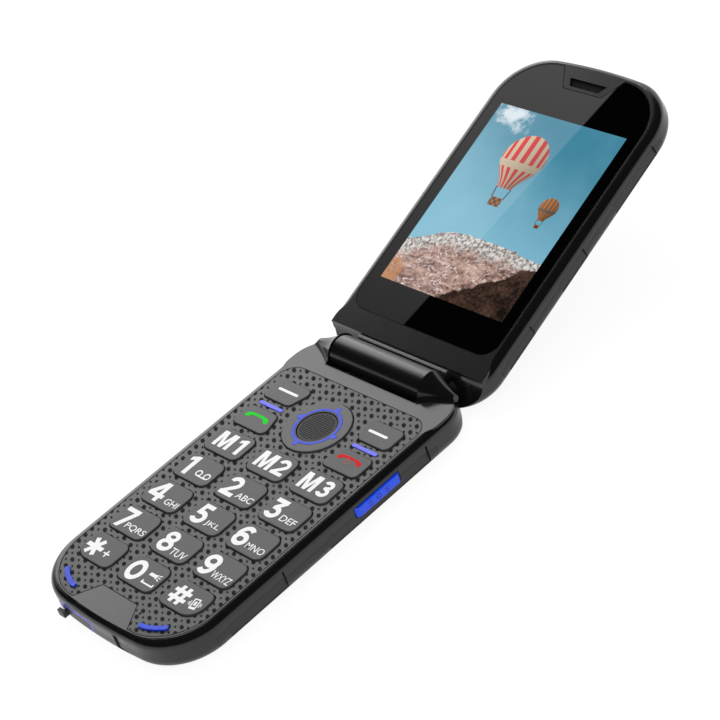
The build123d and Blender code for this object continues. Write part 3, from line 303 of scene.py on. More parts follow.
faint_red = moulded("faint_red_ink", rgb(160, 60, 62), 0.5, grain=0.15, relief=0.004, vary=0.1)


# The dots' grid fans out slightly. Column and row numbers are each a form in x and reach,
# (x share, reach share, constant), over the fan's form.
DOT_COLUMN = (0.279696, -0.0156495, 2.41407)
DOT_ROW = (0.146282, 0.399729, -3.30881)
DOT_FAN = (-0.00125932, -0.000822446, 1)
COLUMN_STEP = (3.33, -1.36)     # mm from one column of dots to the next
ROW_STEP = (0.11, 2.27)         # mm from one row of dots to the next
DOT_LEAN = (0.85, 0.53)         # direction of a dot's long axis
DOT_SLIMNESS = 1.65
DOT_EDGE = 0.08
LARGE_DOT, SMALL_DOT = 0.88, 0.45       # half lengths


def dotted_plate():
    """Keypad plate: satin grey with a printed grid of large dots and small ones between them."""
    g = start("keypad_plate_print")
    x, y, _ = g.axes()
    reach = HINGE.y - y

    def form(shares):
        return x * shares[0] + reach * shares[1] + shares[2]

    fan = form(DOT_FAN)
    column, row = form(DOT_COLUMN) / fan, form(DOT_ROW) / fan

    def dots(shift, half_length):
        across, down = (column + shift).from_nearest(), row.from_nearest()
        dx = across * COLUMN_STEP[0] + down * ROW_STEP[0]
        dy = down * ROW_STEP[1] + across * COLUMN_STEP[1]
        along = dx * DOT_LEAN[0] + dy * DOT_LEAN[1]
        aside = (dy * DOT_LEAN[0] - dx * DOT_LEAN[1]) * DOT_SLIMNESS
        away = (along * along + aside * aside).sqrt()
        return away.step(half_length + DOT_EDGE, half_length - DOT_EDGE)

    print_mask = dots(0.0, LARGE_DOT).max(dots(0.5, SMALL_DOT)) * g.facing(2).step(0.5, 0.8)
    broad = g.noise(14, 3)
    fine = g.noise(0.3, 1.5, 0.6)
    ground = g.mix(broad * 0.7 + fine * 0.3, grey(0.052), grey(0.064))
    ink = g.mix(fine, grey(0.006), grey(0.010))
    return finish("keypad_plate_print", g.mix(print_mask, ground, ink),
                  0.43 + (fine - 0.5) * 0.1 + print_mask * 0.46, g.bump(fine - print_mask * 1.5, 0.006))


def grid_button():
    """OK button: black with a fine raised square grid inside a plain rim; the grid's lines and the rim
    are coloured light grey, a painted highlight.
    """
    pitch, grid_radius, edge = 0.62, 4.5, 0.05
    g = start("ok_grid")
    x, y, _ = g.axes()
    down = y - (HINGE.y - RING_REACH)
    away = (x * x + down * down).sqrt()
    lines = ((x / pitch).from_nearest().abs()).max((down / pitch).from_nearest().abs())
    raised_grid_and_highlight = lines.step(0.33, 0.42) * away.step(grid_radius + edge, grid_radius - edge)
    fine = g.noise(0.2, 2, 0.6)
    rim = away.step(grid_radius, grid_radius + 2 * edge)
    # painted highlight: light grey on the raised grid's lines and, at 0.7, on the rim, over the black
    # button
    return finish("ok_grid", g.mix(raised_grid_and_highlight.max(rim * 0.7), g.mix(fine, grey(0.004), grey(0.008)),
                                   g.mix(fine, grey(0.11), grey(0.15))),
                  0.7 + fine * 0.1, g.bump(raised_grid_and_highlight + fine * 0.05, 0.08), Specular_IOR_Level=0.2)


WINDOW_HALF_SIZE = (21.8, 28.5)     # of the lit display, across and along the lid
WINDOW_REACH = 51.4                 # from the hinge to its middle
PIXEL_PITCH = 0.18


def display_face():
    """Cover glass: black and glossy, with a picture of a summit and two balloons in its window.
    The picture's places are x across and s along the lid from the hinge, in mm."""
    name = "display_glass"
    g = start(name)
    x, y, z = g.axes()
    cos, sin = math.cos(TILT), math.sin(TILT)
    s = (y - HINGE.y) * cos + (z - HINGE.z) * sin
    inside = (WINDOW_HALF_SIZE[0] - x.abs()).min(WINDOW_HALF_SIZE[1] - (s - WINDOW_REACH).abs())
    window = inside.step(-0.04, 0.04)
    window = window * (g.facing(1) * -sin + g.facing(2) * cos).step(0.6, 0.8)

    def blob(cx, cs, rx, rs):
        """Distance from a centre as a share of an ellipse's radius."""
        dx, ds = (x - cx) / rx, (s - cs) / rs
        return (dx * dx + ds * ds).sqrt()

    rough = g.noise(5.5, 6, 0.62)
    grit = g.noise(0.9, 5, 0.7)
    streak = g.noise(3.0, 5, 0.65, stretch=(0.45, 1, 1))

    # sky: pale and greenish low down, deeper teal towards the top right
    sky = g.mix((s + x * 0.35).step(38, 78), rgb(128, 186, 209), rgb(64, 133, 158))
    haze = g.noise(22, 3, 0.5)
    sky = g.mix(haze.step(0.35, 0.8) * 0.35, sky, rgb(150, 198, 214))
    cloud = (g.noise(4.2, 6, 0.62) * 1.25 - blob(-15.5, 77.5, 9, 5.5) * 0.55).step(0.16, 0.52)
    sky = g.mix(cloud * 0.92, sky, rgb(226, 236, 242))

    def balloon(scene, cx, cs, size, first, second):
        """A balloon over the scene: gores in two colours with a shaded side, ropes and a basket."""
        dx, ds = (x - cx) / size, (s - cs) / size
        squeeze = g.ramp(ds, -1.35, -0.15, 0.36, 1.0)
        across = dx / squeeze
        body = (across * across + g.math("MAXIMUM", ds, 0.0) * g.math("MAXIMUM", ds, 0.0))
        skin = body.sqrt().step(1.0, 0.97) * ds.step(-1.36, -1.32)
        gores = g.math("ARCSINE", across.max(-0.999).min(0.999)) * (7 / math.pi)
        stripe = (gores.from_nearest().abs()).step(0.22, 0.28)
        band = (ds + 0.35).abs().step(0.16, 0.13)
        tone = g.mix(stripe.max(band), first, second)
        light = g.ramp(across * 0.8 - ds * 0.5, -1.0, 1.1, 1.15, 0.45, smooth=False)
        lit = g.add("ShaderNodeVectorMath", operation="SCALE")
        g.put(lit.inputs[0], tone)
        g.put(lit.inputs["Scale"], light)
        scene = g.mix(skin, scene, Value(g, lit.outputs[0]))
        ropes = ((dx.abs() - 0.3 - (ds + 1.6) * 0.15).abs()).step(0.035, 0.015)
        ropes = ropes * (ds + 1.55).abs().step(0.24, 0.22)
        scene = g.mix(ropes, scene, rgb(70, 55, 45))
        basket = (dx.abs() - 0.26).max((ds + 1.93).abs() - 0.17).step(0.02, 0.0)
        weave = ((s * 3.2).sin() * (x * 3.2).sin()).step(-0.3, 0.3)
        return g.mix(basket, scene, g.mix(weave, rgb(96, 62, 38), rgb(150, 104, 62)))

    scene = balloon(sky, -3.5, 66.5, 7.2, rgb(214, 52, 50), rgb(205, 186, 160))
    scene = balloon(scene, 13.2, 55.5, 3.0, rgb(196, 118, 60), rgb(120, 104, 88))

    # summit: pale broken crest, pinkish slabs, a dark block at the right
    crest = g.ramp(x, -22, -7, 35.5, 41.6) - g.ramp(x, 6, 22, 0, 1.2) + (rough - 0.5) * 3.0
    rock = (crest - s).step(-0.12, 0.12)
    depth = crest - s
    pale = g.mix(grit.step(0.38, 0.62), rgb(120, 112, 108), rgb(232, 228, 224))
    slab = g.mix((streak * 0.6 + grit * 0.4).step(0.36, 0.62), rgb(104, 76, 70), rgb(206, 172, 160))
    crack = g.noise(2.2, 3, 0.55, stretch=(0.35, 1, 1))
    pale_crack = (crack - 0.5).abs().step(0.016, 0.004) * grit.step(0.4, 0.55)
    slab = g.mix(pale_crack, slab, rgb(238, 226, 218))
    dark_crack = (g.noise(3.4, 4, 0.6, stretch=(0.4, 1, 1)) - 0.42).abs().step(0.014, 0.004)
    slab = g.mix(dark_crack, slab, rgb(70, 48, 44))
    stone = g.mix((depth + (rough - 0.5) * 6).step(2.2, 6.0), pale, slab)
    warm = blob(-21, 25.5, 5.5, 5).step(1.1, 0.5) * rough.step(0.3, 0.6)
    stone = g.mix(warm, stone, rgb(190, 132, 88))
    edge = g.ramp(x, -2, 21, 23.5, 38.5, smooth=False) + (rough - 0.5) * 7
    dark = (edge - s).step(-0.3, 0.5) * x.step(-3, 0)
    block = g.mix((rough * 0.5 + grit * 0.5).step(0.38, 0.7), rgb(22, 17, 15), rgb(92, 68, 56))
    stone = g.mix(dark, stone, block)
    picture = g.mix(rock, scene, stone)

    stripes = (x * (2 * math.pi / PIXEL_PITCH)).sin() * 0.02 + 0.98
    return finish(name, grey(0.001), g.noise(6, 4, 0.6).step(0.5, 0.9) * 0.006,
                  Emission_Color=g.mix(window, grey(0.0), picture),
                  Emission_Strength=window * stripes)


def printed_board(name, colour):
    """Circuit board: solder mask over raised tracks, with pads in the print."""
    g = start(name)
    x, y, _ = g.axes()
    cell = g.cells(2.4)
    tracks = ((x * 0.9 + g.noise(9, 1) * 9).from_nearest().abs()).step(0.10, 0.06)
    across = ((y * 0.7 + g.noise(11, 1) * 8).from_nearest().abs()).step(0.08, 0.05)
    pads = cell.step(0.16, 0.13)
    copper = tracks.max(across)
    base = g.mix(copper, colour, shade(colour, 1.9))
    return finish(name, g.mix(pads, base, (0.72, 0.60, 0.32)), 0.34 - pads * 0.1,
                  g.bump(copper + pads, 0.02))


def wrapped_cell():
    """Battery: grey printed film with a darker band at its terminal end."""
    g = start("battery_film")
    _, y, _ = g.axes()
    crease = g.noise(7, 4, 0.6, stretch=(1, 0.3, 1))
    fine = g.noise(0.4, 2)
    band = (y - 4).abs().step(14, 13.6)
    return finish("battery_film", g.mix(band, g.mix(fine, grey(0.05), grey(0.065)),
                                        g.mix(fine, grey(0.20), grey(0.24))),
                  0.38 + crease * 0.15, g.bump(crease, 0.05))


def amber_film(name):
    """Flexible circuit: amber film with copper tracks along it."""
    g = start(name)
    x, _, _ = g.axes()
    tracks = (x * 1.1).from_nearest().abs().step(0.2, 0.12)
    return finish(name, g.mix(tracks, (0.30, 0.14, 0.03), (0.46, 0.25, 0.07)), 0.3,
                  g.bump(tracks, 0.02))


def woven_mesh():
    """Earpiece mesh: black gauze."""
    thread = 0.16
    g = start("earpiece_gauze")
    x, y, _ = g.axes()
    weave = (x * (math.pi / thread)).sin() * (y * (math.pi / thread)).sin()
    return finish("earpiece_gauze", g.mix(weave.step(-0.3, 0.3), grey(0.002), grey(0.012)), 0.7,
                  g.bump(weave, 0.05), Specular_IOR_Level=0.15)


def dark_lens(name, colour):
    """Small polished window with a trace of dust."""
    g = start(name)
    dust = g.noise(1.2, 4, 0.6).step(0.55, 0.8)
    return finish(name, g.mix(dust, colour, shade(colour, 1.25)), 0.03 + dust * 0.03,
                  g.bump(dust, 0.0005), coat=1.0)


def panel_back():
    """Display module: thin black coated plate."""
    g = start("display_back")
    fine = g.noise(0.5, 3)
    return finish("display_back", g.mix(fine, grey(0.02), grey(0.03)), 0.25 + fine * 0.1,
                  g.bump(fine, 0.004))


board_green = printed_board("board_mask", (0.012, 0.075, 0.035))
FINISH = {
    case: ("base_top_shell", "lid_front_frame", "lid_back_shell"),
    case_under: ("base_bottom_shell", "battery_cover"),
    rubber: ("base_guards", "lid_guards", "port_cover"),
    key_plastic: [n for n in nodes if n.startswith("key_")] + ["volume_key"],
    ring_plastic: ("nav_ring",),
    dotted_plate(): ("keypad_plate",),
    grid_button(): ("ok_button",),
    display_face(): ("display_glass",),
    sheet_black: ("loudspeaker", "earpiece", "camera_module"),
    woven_mesh(): ("earpiece_mesh",),
    steel: ("base_screws", "lid_screws", "hinge_pins", "hinge_cartridge",
            "microphone", "vibration_motor", "nav_gimbal"),
    dull_steel: ("hinge_strip",),
    nickel: ("usb_socket", "sim_reader"),
    gold: ("battery_contacts",),
    blue_accent: ("accent_bars", "port_gasket"),
    blue_deep: ("nav_ring_trim", "corner_accents"),
    blue_button: ("sos_button",),
    board_green: ("main_board", "lid_board"),
    wrapped_cell(): ("battery",),
    amber_film("flex_film"): ("display_flex", "dome_sheet"),
    panel_back(): ("display_module",),
    dark_lens("camera_glass", (0.008, 0.009, 0.012)): ("camera_window",),
    dark_lens("flash_glass", (0.55, 0.52, 0.40)): ("flash_lens",),
}
for material, names in FINISH.items():
    for name in names:
        nodes[name].data.materials.clear()
        nodes[name].data.materials.append(material)
bare = [n for n, o in nodes.items() if not any(o.data.materials[0] is m for m in FINISH)]
assert not bare, bare


# ---------------------------------------------------------------- printing
def signed_area(outline):
    """Positive where the outline runs anticlockwise."""
    return sum(a[0] * b[1] - b[0] * a[1] for a, b in zip(outline, outline[1:] + outline[:1])) / 2


def add_shapes(mesh, outlines, level, thick):
    """Flat shapes over closed outlines in mm, which may overlap, with their underside at level."""
    points, loops = [], []
    for outline in outlines:
        outline = list(outline)
        turned = outline if signed_area(outline) > 0 else outline[::-1]
        loops.append(list(range(len(points), len(points) + len(turned))))
        points += [Vector(p) for p in turned]
    spots, _, faces, _, _, owners = delaunay_2d_cdt(points, [], loops, 1, 1e-4)
    faces = [face for face, owner in zip(faces, owners) if owner]
    used = {i for face in faces for i in face}
    low = {i: mesh.verts.new((*spots[i], level)) for i in used}
    high = {i: mesh.verts.new((*spots[i], level + thick)) for i in used}
    sides = {(a, b) for face in faces for a, b in zip(face, face[1:] + face[:1])}
    for face in faces:
        mesh.faces.new([high[i] for i in face])
        mesh.faces.new([low[i] for i in reversed(face)])
    for a, b in sorted(sides):
        if (b, a) not in sides:
            mesh.faces.new((low[a], low[b], high[b], high[a]))


def rounded(x0, x1, r0, r1, radius, turns=6):
    """Rounded rectangle between two places across and two reaches."""
    y0, y1 = -max(r0, r1), -min(r0, r1)
    corners = ((x1 - radius, y1 - radius, 0), (x0 + radius, y1 - radius, 90),
               (x0 + radius, y0 + radius, 180), (x1 - radius, y0 + radius, 270))
    return [(cx + radius * math.cos(math.radians(a + 90 * k / turns)),
             cy + radius * math.sin(math.radians(a + 90 * k / turns)))
            for cx, cy, a in corners for k in range(turns + 1)]


def stroke(points, width):
    """A band of one width along a line of points, with square ends."""
    pts = [Vector(p) for p in points]
    left, right = [], []
    for i, p in enumerate(pts):
        before = (p - pts[i - 1]).normalized() if i else None
        after = (pts[i + 1] - p).normalized() if i + 1 < len(pts) else None
        along = ((before or after) + (after or before)).normalized()
        across = Vector((-along.y, along.x))
        reach = width / 2 / max(0.4, across.dot(Vector((-(after or before).y, (after or before).x))))
        left.append(p + across * reach)
        right.append(p - across * reach)
    return [tuple(p) for p in right + left[::-1]]


def smooth(points, rounds=2):
    """Cuts an outline's corners."""
    pts = [Vector(p) for p in points]
    for _ in range(rounds):
        pts = [q for i, p in enumerate(pts)
               for q in (p.lerp(pts[(i + 1) % len(pts)], 0.25), p.lerp(pts[(i + 1) % len(pts)], 0.75))]
    return [tuple(p) for p in pts]


def add_text(mesh, text, box, level, thick, bold):
    """Text in the built-in face, stretched to a box (x0, x1, nearer reach, further reach)."""
    curve = bpy.data.curves.new("glyph", "FONT")
    curve.body, curve.offset, curve.extrude = text, bold, 0.5
    curve.resolution_u = 6
    holder = bpy.data.objects.new("glyph", curve)
    bpy.context.scene.collection.objects.link(holder)
    bpy.context.view_layer.update()
    made = bpy.data.meshes.new_from_object(
        holder.evaluated_get(bpy.context.evaluated_depsgraph_get()))
    xs = [v.co.x for v in made.vertices]
    ys = [v.co.y for v in made.vertices]
    x0, x1, y0, y1 = box[0], box[1], -max(box[2:]), -min(box[2:])
    for v in made.vertices:
        v.co = (x0 + (v.co.x - min(xs)) / (max(xs) - min(xs)) * (x1 - x0),
                y0 + (v.co.y - min(ys)) / (max(ys) - min(ys)) * (y1 - y0),
                level + (v.co.z + 0.5) * thick)
    mesh.from_mesh(made)
    bpy.data.objects.remove(holder)
    bpy.data.curves.remove(curve)
    bpy.data.meshes.remove(made)


def printed(name, body, material, frame_matrix, shapes=(), words=(), level=KEY_TOP,
            thick=INK, bold=0.004):
    """One printed or embossed piece: shapes and words in a local frame, riding on a body."""
    mesh = bmesh.new()
    if shapes:
        add_shapes(mesh, shapes, level, thick)
    for text, *box in words:
        add_text(mesh, text, box, level, thick, bold=bold)
    bmesh.ops.remove_doubles(mesh, verts=mesh.verts, dist=1e-5)
    bmesh.ops.recalc_face_normals(mesh, faces=mesh.faces)
    mesh.transform(Matrix.Scale(0.001, 4) @ frame_matrix)
    data = bpy.data.meshes.new(name)
    mesh.to_mesh(data)
    mesh.free()
    piece = bpy.data.objects.new(name, data)
    bpy.context.scene.collection.objects.link(piece)
    data.materials.append(material)
    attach(piece, body)
    return piece


def handset(x0, x1, r0, r1):
    """A telephone receiver lying face down: a low arch with a lobe at each end."""
    half = [(0.0, 0.0), (0.5, 0.0), (0.78, 0.12), (1.0, 0.52), (0.98, 0.92), (0.86, 1.0),
            (0.62, 0.84), (0.56, 0.5), (0.3, 0.40), (0.0, 0.38)]
    cx, hx, h = (x0 + x1) / 2, (x1 - x0) / 2, abs(r1 - r0)
    right = [(cx + px * hx, -r0 - py * h) for px, py in half]
    left = [(2 * cx - px, py) for px, py in right[1:-1]][::-1]
    return smooth(right + left)


PEN = 1.3     # width of the bold figures' strokes


def bow(cx, cy, rx, ry, first, last, pen=PEN, steps=24):
    """Part of an elliptical band, from its outer radii, between two angles in degrees."""
    turns = [math.radians(first + (last - first) * k / steps) for k in range(steps + 1)]
    return ([(cx + rx * math.cos(a), cy + ry * math.sin(a)) for a in turns]
            + [(cx + (rx - pen) * math.cos(a), cy + (ry - pen) * math.sin(a)) for a in turns[::-1]])


def hoop(cx, cy, rx, ry, pen=PEN, steps=24):
    """A whole elliptical band as two halves."""
    return [bow(cx, cy, rx, ry, 0, 180, pen, steps), bow(cx, cy, rx, ry, 180, 360, pen, steps)]


def small_ring(cx, cy, outer, inner):
    return hoop(cx, cy, outer, outer, outer - inner, steps=20)


def bar(x0, x1, y0, y1):
    return [(x0, y0), (x1, y0), (x1, y1), (x0, y1)]


# bold figures, each with its width and height and the outlines that make it up, which may overlap
SIX = [*hoop(2.3, 2.1, 2.3, 2.1), bow(2.6, 3.2, 2.6, 3.2, 48, 183)]
GLYPHS = {
    "0": (5.3, 6.4, hoop(2.65, 3.2, 2.65, 3.2, 1.35)),
    "1": (2.7, 6.4, [[(1.35, 0), (2.7, 0), (2.7, 6.4), (1.75, 6.4), (0, 5.55), (0, 4.35), (1.35, 4.9)]]),
    "2": (4.6, 6.4, [bow(2.3, 4.35, 2.25, 2.05, -45, 172),
                     [(3.89, 2.9), (2.97, 3.82), (0, 0.95), (0, 0.5), (1.6, 0.5), (1.95, 1.15)],
                     bar(0, 4.6, 0, 1.25)]),
    "3": (4.5, 6.4, [bar(0.2, 4.25, 5.15, 6.4), bow(2.15, 2.05, 2.3, 2.05, -158, 92),
                     [(4.25, 5.3), (2.6, 5.3), (1.15, 3.75), (1.15, 2.85), (2.2, 2.85), (2.95, 3.8)]]),
    "round 3": (4.4, 6.4, [bow(2.1, 4.65, 2.05, 1.75, -92, 162), bow(2.1, 1.95, 2.3, 1.95, -160, 92),
                           bar(1.3, 2.15, 2.85, 3.95)]),
    "4": (5.3, 6.4, [bar(3.05, 4.35, 0, 6.4), bar(0, 5.3, 1.35, 2.6),
                     [(2.75, 6.4), (0, 2.5), (0, 1.7), (1.5, 2.2), (3.2, 4.7), (3.2, 6.4)]]),
    "5": (4.4, 6.4, [bar(0.75, 4.05, 5.15, 6.4), bow(2.0, 2.12, 2.4, 2.12, -155, 128),
                     [(0.75, 6.4), (0.3, 2.95), (1.5, 2.85), (2.0, 6.4)]]),
    "6": (4.6, 6.4, SIX),
    "7": (4.7, 6.4, [bar(0, 4.7, 5.15, 6.4), [(3.2, 5.3), (4.7, 5.3), (2.1, 0), (0.6, 0)]]),
    "8": (4.7, 6.4, hoop(2.35, 4.7, 2.05, 1.7, 1.2) + hoop(2.35, 1.95, 2.35, 1.95, 1.25)),
    "9": (4.6, 6.4, [[(4.6 - px, 6.4 - py) for px, py in shape] for shape in SIX]),
    "S": (1.9, 1.8, [bow(0.95, 1.3, 0.8, 0.5, 15, 262, 0.3), bow(0.95, 0.53, 0.9, 0.53, -165, 82, 0.3)]),
    "O": (2.0, 1.8, hoop(1.0, 0.9, 1.0, 0.9, 0.32)),
    "M": (5.4, 5.3, [[(0, 0), (1.2, 0), (1.2, 3.5), (2.15, 0), (3.25, 0), (4.2, 3.5), (4.2, 0),
                      (5.4, 0), (5.4, 5.3), (3.65, 5.3), (2.7, 1.8), (1.75, 5.3), (0, 5.3)]]),
    "#": (5.4, 5.4, [bar(0, 5.4, 3.25, 4.3), bar(0, 5.4, 1.1, 2.15),
                     [(0.95, 0), (2.05, 0), (2.35, 5.4), (1.25, 5.4)],
                     [(3.05, 0), (4.15, 0), (4.45, 5.4), (3.35, 5.4)]]),
}


def figure(glyph, x0, x1, near, far):
    """A figure stretched between two places across and two reaches."""
    width, height, outlines = GLYPHS[glyph]
    return [[(x0 + px * (x1 - x0) / width, -far + py * (far - near) / height) for px, py in outline]
            for outline in outlines]


def star(cx, cy, arm, width, arms=3):
    """Bars crossing at a middle."""
    turns = [math.pi * k / arms for k in range(arms)]
    return [stroke([(cx - arm * math.cos(a), cy - arm * math.sin(a)),
                    (cx + arm * math.cos(a), cy + arm * math.sin(a))], width) for a in turns]


def tilted(outlines, cx, cy, degrees):
    """Outlines about the origin, turned and moved to a middle."""
    cos, sin = math.cos(math.radians(degrees)), math.sin(math.radians(degrees))
    return [[(cx + px * cos - py * sin, cy + px * sin + py * cos) for px, py in outline]
            for outline in outlines]


def buzzing_phone():
    """A small phone with a screen and shake marks at its sides, about its own middle."""
    outline = [bar(-0.95, 0.95, 1.25, 1.6), bar(-0.95, 0.95, -1.6, -0.95), bar(-0.95, -0.6, -1.6, 1.6),
               bar(0.6, 0.95, -1.6, 1.6)]
    screen = [bar(-0.3, 0.3, -0.5, 0.8)]
    marks = [bar(side * x - 0.11, side * x + 0.11, -h, h)
             for side in (-1, 1) for x, h in ((1.38, 0.75), (1.82, 0.42))]
    return outline + screen + marks


# each key's figures, as (glyph, x0, x1, nearer reach, further reach)
FIGURES = {
    "key_m1": (("M", -20.75, -15.3, 36.5, 41.8), ("1", -13.9, -11.4, 36.5, 41.8)),
    "key_m2": (("M", -5.1, 0.3, 36.5, 41.8), ("2", 1.25, 5.2, 36.5, 41.8)),
    "key_m3": (("M", 11.0, 16.3, 36.5, 41.8), ("round 3", 17.4, 20.9, 36.5, 41.8)),
    "key_1": (("1", -21.1, -18.3, 46.6, 53.0),),
    "key_2": (("2", -5.4, -0.8, 46.6, 53.0),),
    "key_3": (("3", 10.75, 15.2, 46.6, 53.0),),
    "key_4": (("4", -21.8, -16.5, 57.1, 63.5),),
    "key_5": (("5", -4.8, -0.4, 57.1, 63.5),),
    "key_6": (("6", 10.4, 15.0, 57.1, 63.5),),
    "key_7": (("7", -21.7, -17.0, 67.75, 74.2),),
    "key_8": (("8", -5.2, -0.5, 67.75, 74.2),),
    "key_9": (("9", 10.4, 15.1, 67.75, 74.2),),
    "key_0": (("0", -5.2, 0.1, 78.4, 84.75),),
    "key_hash": (("#", 11.3, 16.8, 78.8, 84.2),),
    "key_star": (),
}
# each key's letters, as (text, x0, x1, nearer reach, further reach)
LETTERS = {
    "key_2": ("ABC", 0.1, 5.8, 50.4, 52.3), "key_3": ("DEF", 16.25, 21.5, 50.4, 52.3),
    "key_4": ("GHI", -15.1, -10.4, 61.0, 62.9), "key_5": ("JKL", 0.3, 5.3, 61.0, 62.9),
    "key_6": ("MNO", 15.75, 21.8, 61.0, 62.9), "key_7": ("PQRS", -17.6, -10.4, 71.7, 73.8),
    "key_8": ("TUV", 0.1, 5.4, 71.7, 73.8), "key_9": ("WXYZ", 15.5, 21.9, 71.7, 73.8),
}
# each key's signs, as outlines in the base's local x and y
SIGNS = {
    "key_1": small_ring(-14.9, -50.9, 1.05, 0.68) + small_ring(-11.9, -50.9, 1.05, 0.68)
    + [stroke([(-14.9, -51.76), (-11.9, -51.76)], 0.38)],
    "key_star": star(-18.65, -81.65, 2.85, 1.25) + star(-13.85, -81.95, 1.05, 0.42, arms=2),
    "key_0": [
        stroke([(1.75, -82.8), (1.75, -83.5), (5.5, -83.5), (5.5, -82.8)], 0.42),
        [(1.7, -80.15), (3.7, -80.15), (4.3, -79.85), (4.3, -81.35), (3.7, -81.05), (1.7, -81.05)],
        stroke([(4.6, -80.1), (5.4, -79.75)], 0.28), stroke([(4.6, -80.6), (5.5, -80.6)], 0.28),
        stroke([(4.6, -81.1), (5.4, -81.45)], 0.28)],
    "key_hash": tilted(buzzing_phone(), 19.55, -81.65, 12),
}
for name, figures in FIGURES.items():
    shapes = [outline for entry in figures for outline in figure(*entry)] + SIGNS.get(name, [])
    printed("legend_" + name, name, white_ink, BASE, shapes,
            [LETTERS[name]] if name in LETTERS else ())


def arc(cx, cy, radius, first, last, steps=12):
    """Points on a circle between two angles in degrees."""
    turns = [math.radians(first + (last - first) * k / steps) for k in range(steps + 1)]
    return [(cx + radius * math.cos(a), cy + radius * math.sin(a)) for a in turns]


def painted_shade_outline(near, corner, away):
    """Painted shade: the dark line round the keypad plate or the cover glass, standing for the shadow in
    the gap along its hinge side, sides and notched end.
    away is -1 where reach runs along local -y, and 1 where it runs along local y."""
    half_width, end_radius, end_reach = 25.47, 14.0, 81.3
    notch_foot, notch_top = (10.6, 95.35), (6.6, 88.9)      # half width and reach
    right = ([(0, near)] + arc(half_width - corner, near + corner, corner, -90, 0)
             + arc(half_width - end_radius, end_reach, end_radius, 0, 84)
             + [notch_foot, notch_top, (0, notch_top[1])])
    return [stroke([(side * px, away * py) for px, py in right], PAINTED_SHADE_LINE[0]) for side in (1, -1)]


# painted shade: dark lines laid round the keypad plate and the cover glass where the gaps' shadow falls
printed("keypad_plate_painted_shade", "base", painted_gap_shade, BASE, painted_shade_outline(9.7, 5.0, -1),
        level=DECK, thick=PAINTED_SHADE_LINE[1])
printed("display_glass_painted_shade", "lid", painted_gap_shade, LID, painted_shade_outline(12.9, 5.0, 1),
        level=0, thick=PAINTED_SHADE_LINE[1])
printed("legend_key_soft_left", "key_soft_left", white_ink, BASE,
        [rounded(-20.5, -13.25, 18.1, 18.9, 0.38)])
printed("legend_key_soft_right", "key_soft_right", white_ink, BASE,
        [rounded(13.25, 19.8, 18.4, 19.2, 0.38)])
printed("legend_key_call", "key_call", green_ink, BASE, [handset(-21.2, -12.8, 28.2, 30.2)])
printed("legend_key_end", "key_end", red_ink, BASE, [handset(12.9, 20.9, 28.0, 29.75)])
printed("legend_key_end_power", "key_end", faint_red, BASE,
        small_ring(16.85, -29.75, 0.85, 0.62) + [stroke([(16.85, -28.6), (16.85, -29.6)], 0.26)])
# the raised letters take the darker blue that is painted shade
printed("sos_lettering", "sos_button", sos_letter_painted_shade, SIDE, level=SOS_FACE, thick=EMBOSS,
        shapes=[outline for glyph, x0, x1 in (("S", -35.15, -33.85), ("O", -32.4, -31.0),
                                              ("S", -29.65, -28.35))
                for outline in figure(glyph, x0, x1, -5.65, -4.15)])


# ---------------------------------------------------------------- floor, lamps and camera
def studio_floor():
    half, level = 3.0, -0.00005     # just under the phone, so that the two never share a plane
    data = bpy.data.meshes.new("floor")
    data.from_pydata([(-half, -half, level), (half, -half, level), (half, half, level),
                      (-half, half, level)], [], [(0, 1, 2, 3)])
    floor = bpy.data.objects.new("floor", data)
    bpy.context.scene.collection.objects.link(floor)
    material = bpy.data.materials.new("studio_floor")
    material.use_nodes = True
    g = Graph(material.node_tree)
    path = g.add("ShaderNodeLightPath")
    seen = Value(g, path.outputs["Is Camera Ray"]).max(
        Value(g, path.outputs["Is Glossy Ray"])).max(Value(g, path.outputs["Is Transmission Ray"]))
    paper = g.add("ShaderNodeBsdfDiffuse")
    grain = g.noise(300, 2)
    g.put(paper.inputs["Color"], g.mix(seen, g.mix(grain, grey(0.78), grey(0.82)),
                                      g.mix(grain, grey(0.17), grey(0.18))))
    glow = g.add("ShaderNodeEmission")
    glow.inputs["Color"].default_value = (1, 1, 1, 1)
    g.put(glow.inputs["Strength"], seen * 0.90)
    both = g.add("ShaderNodeAddShader")
    g.tree.links.new(paper.outputs[0], both.inputs[0])
    g.tree.links.new(glow.outputs[0], both.inputs[1])
    out = g.add("ShaderNodeOutputMaterial")
    g.tree.links.new(both.outputs[0], out.inputs["Surface"])
    data.materials.append(material)


# the camera's place in metres, and the directions of its picture's axes
CAMERA = Vector((0.374607, -0.194355, 0.333611))
RIGHT = Vector((0.66732799, 0.69149969, -0.2765891))
DOWN = Vector((0.28394631, -0.5795551, -0.76386542))
FORWARD = Vector((-0.68851133, 0.43121232, -0.58310212))


ROOM_LIGHT = 0.52                   # the even light that falls on matt surfaces
PANEL_EDGE = 0.0004                 # softness of the reflected panel's straight edge
PANEL_START = (-0.30, -0.18)        # direction towards the lid where the panel begins
PANEL_FADE = (-0.04, 0.12)          # stretch over which it brightens
PANEL_LIGHT = (0.38, 1.25)          # from this strength to this
HORIZON = (0.22, 0.04)              # heights between which the reflected sky brightens downwards
HORIZON_LIGHT = 0.92


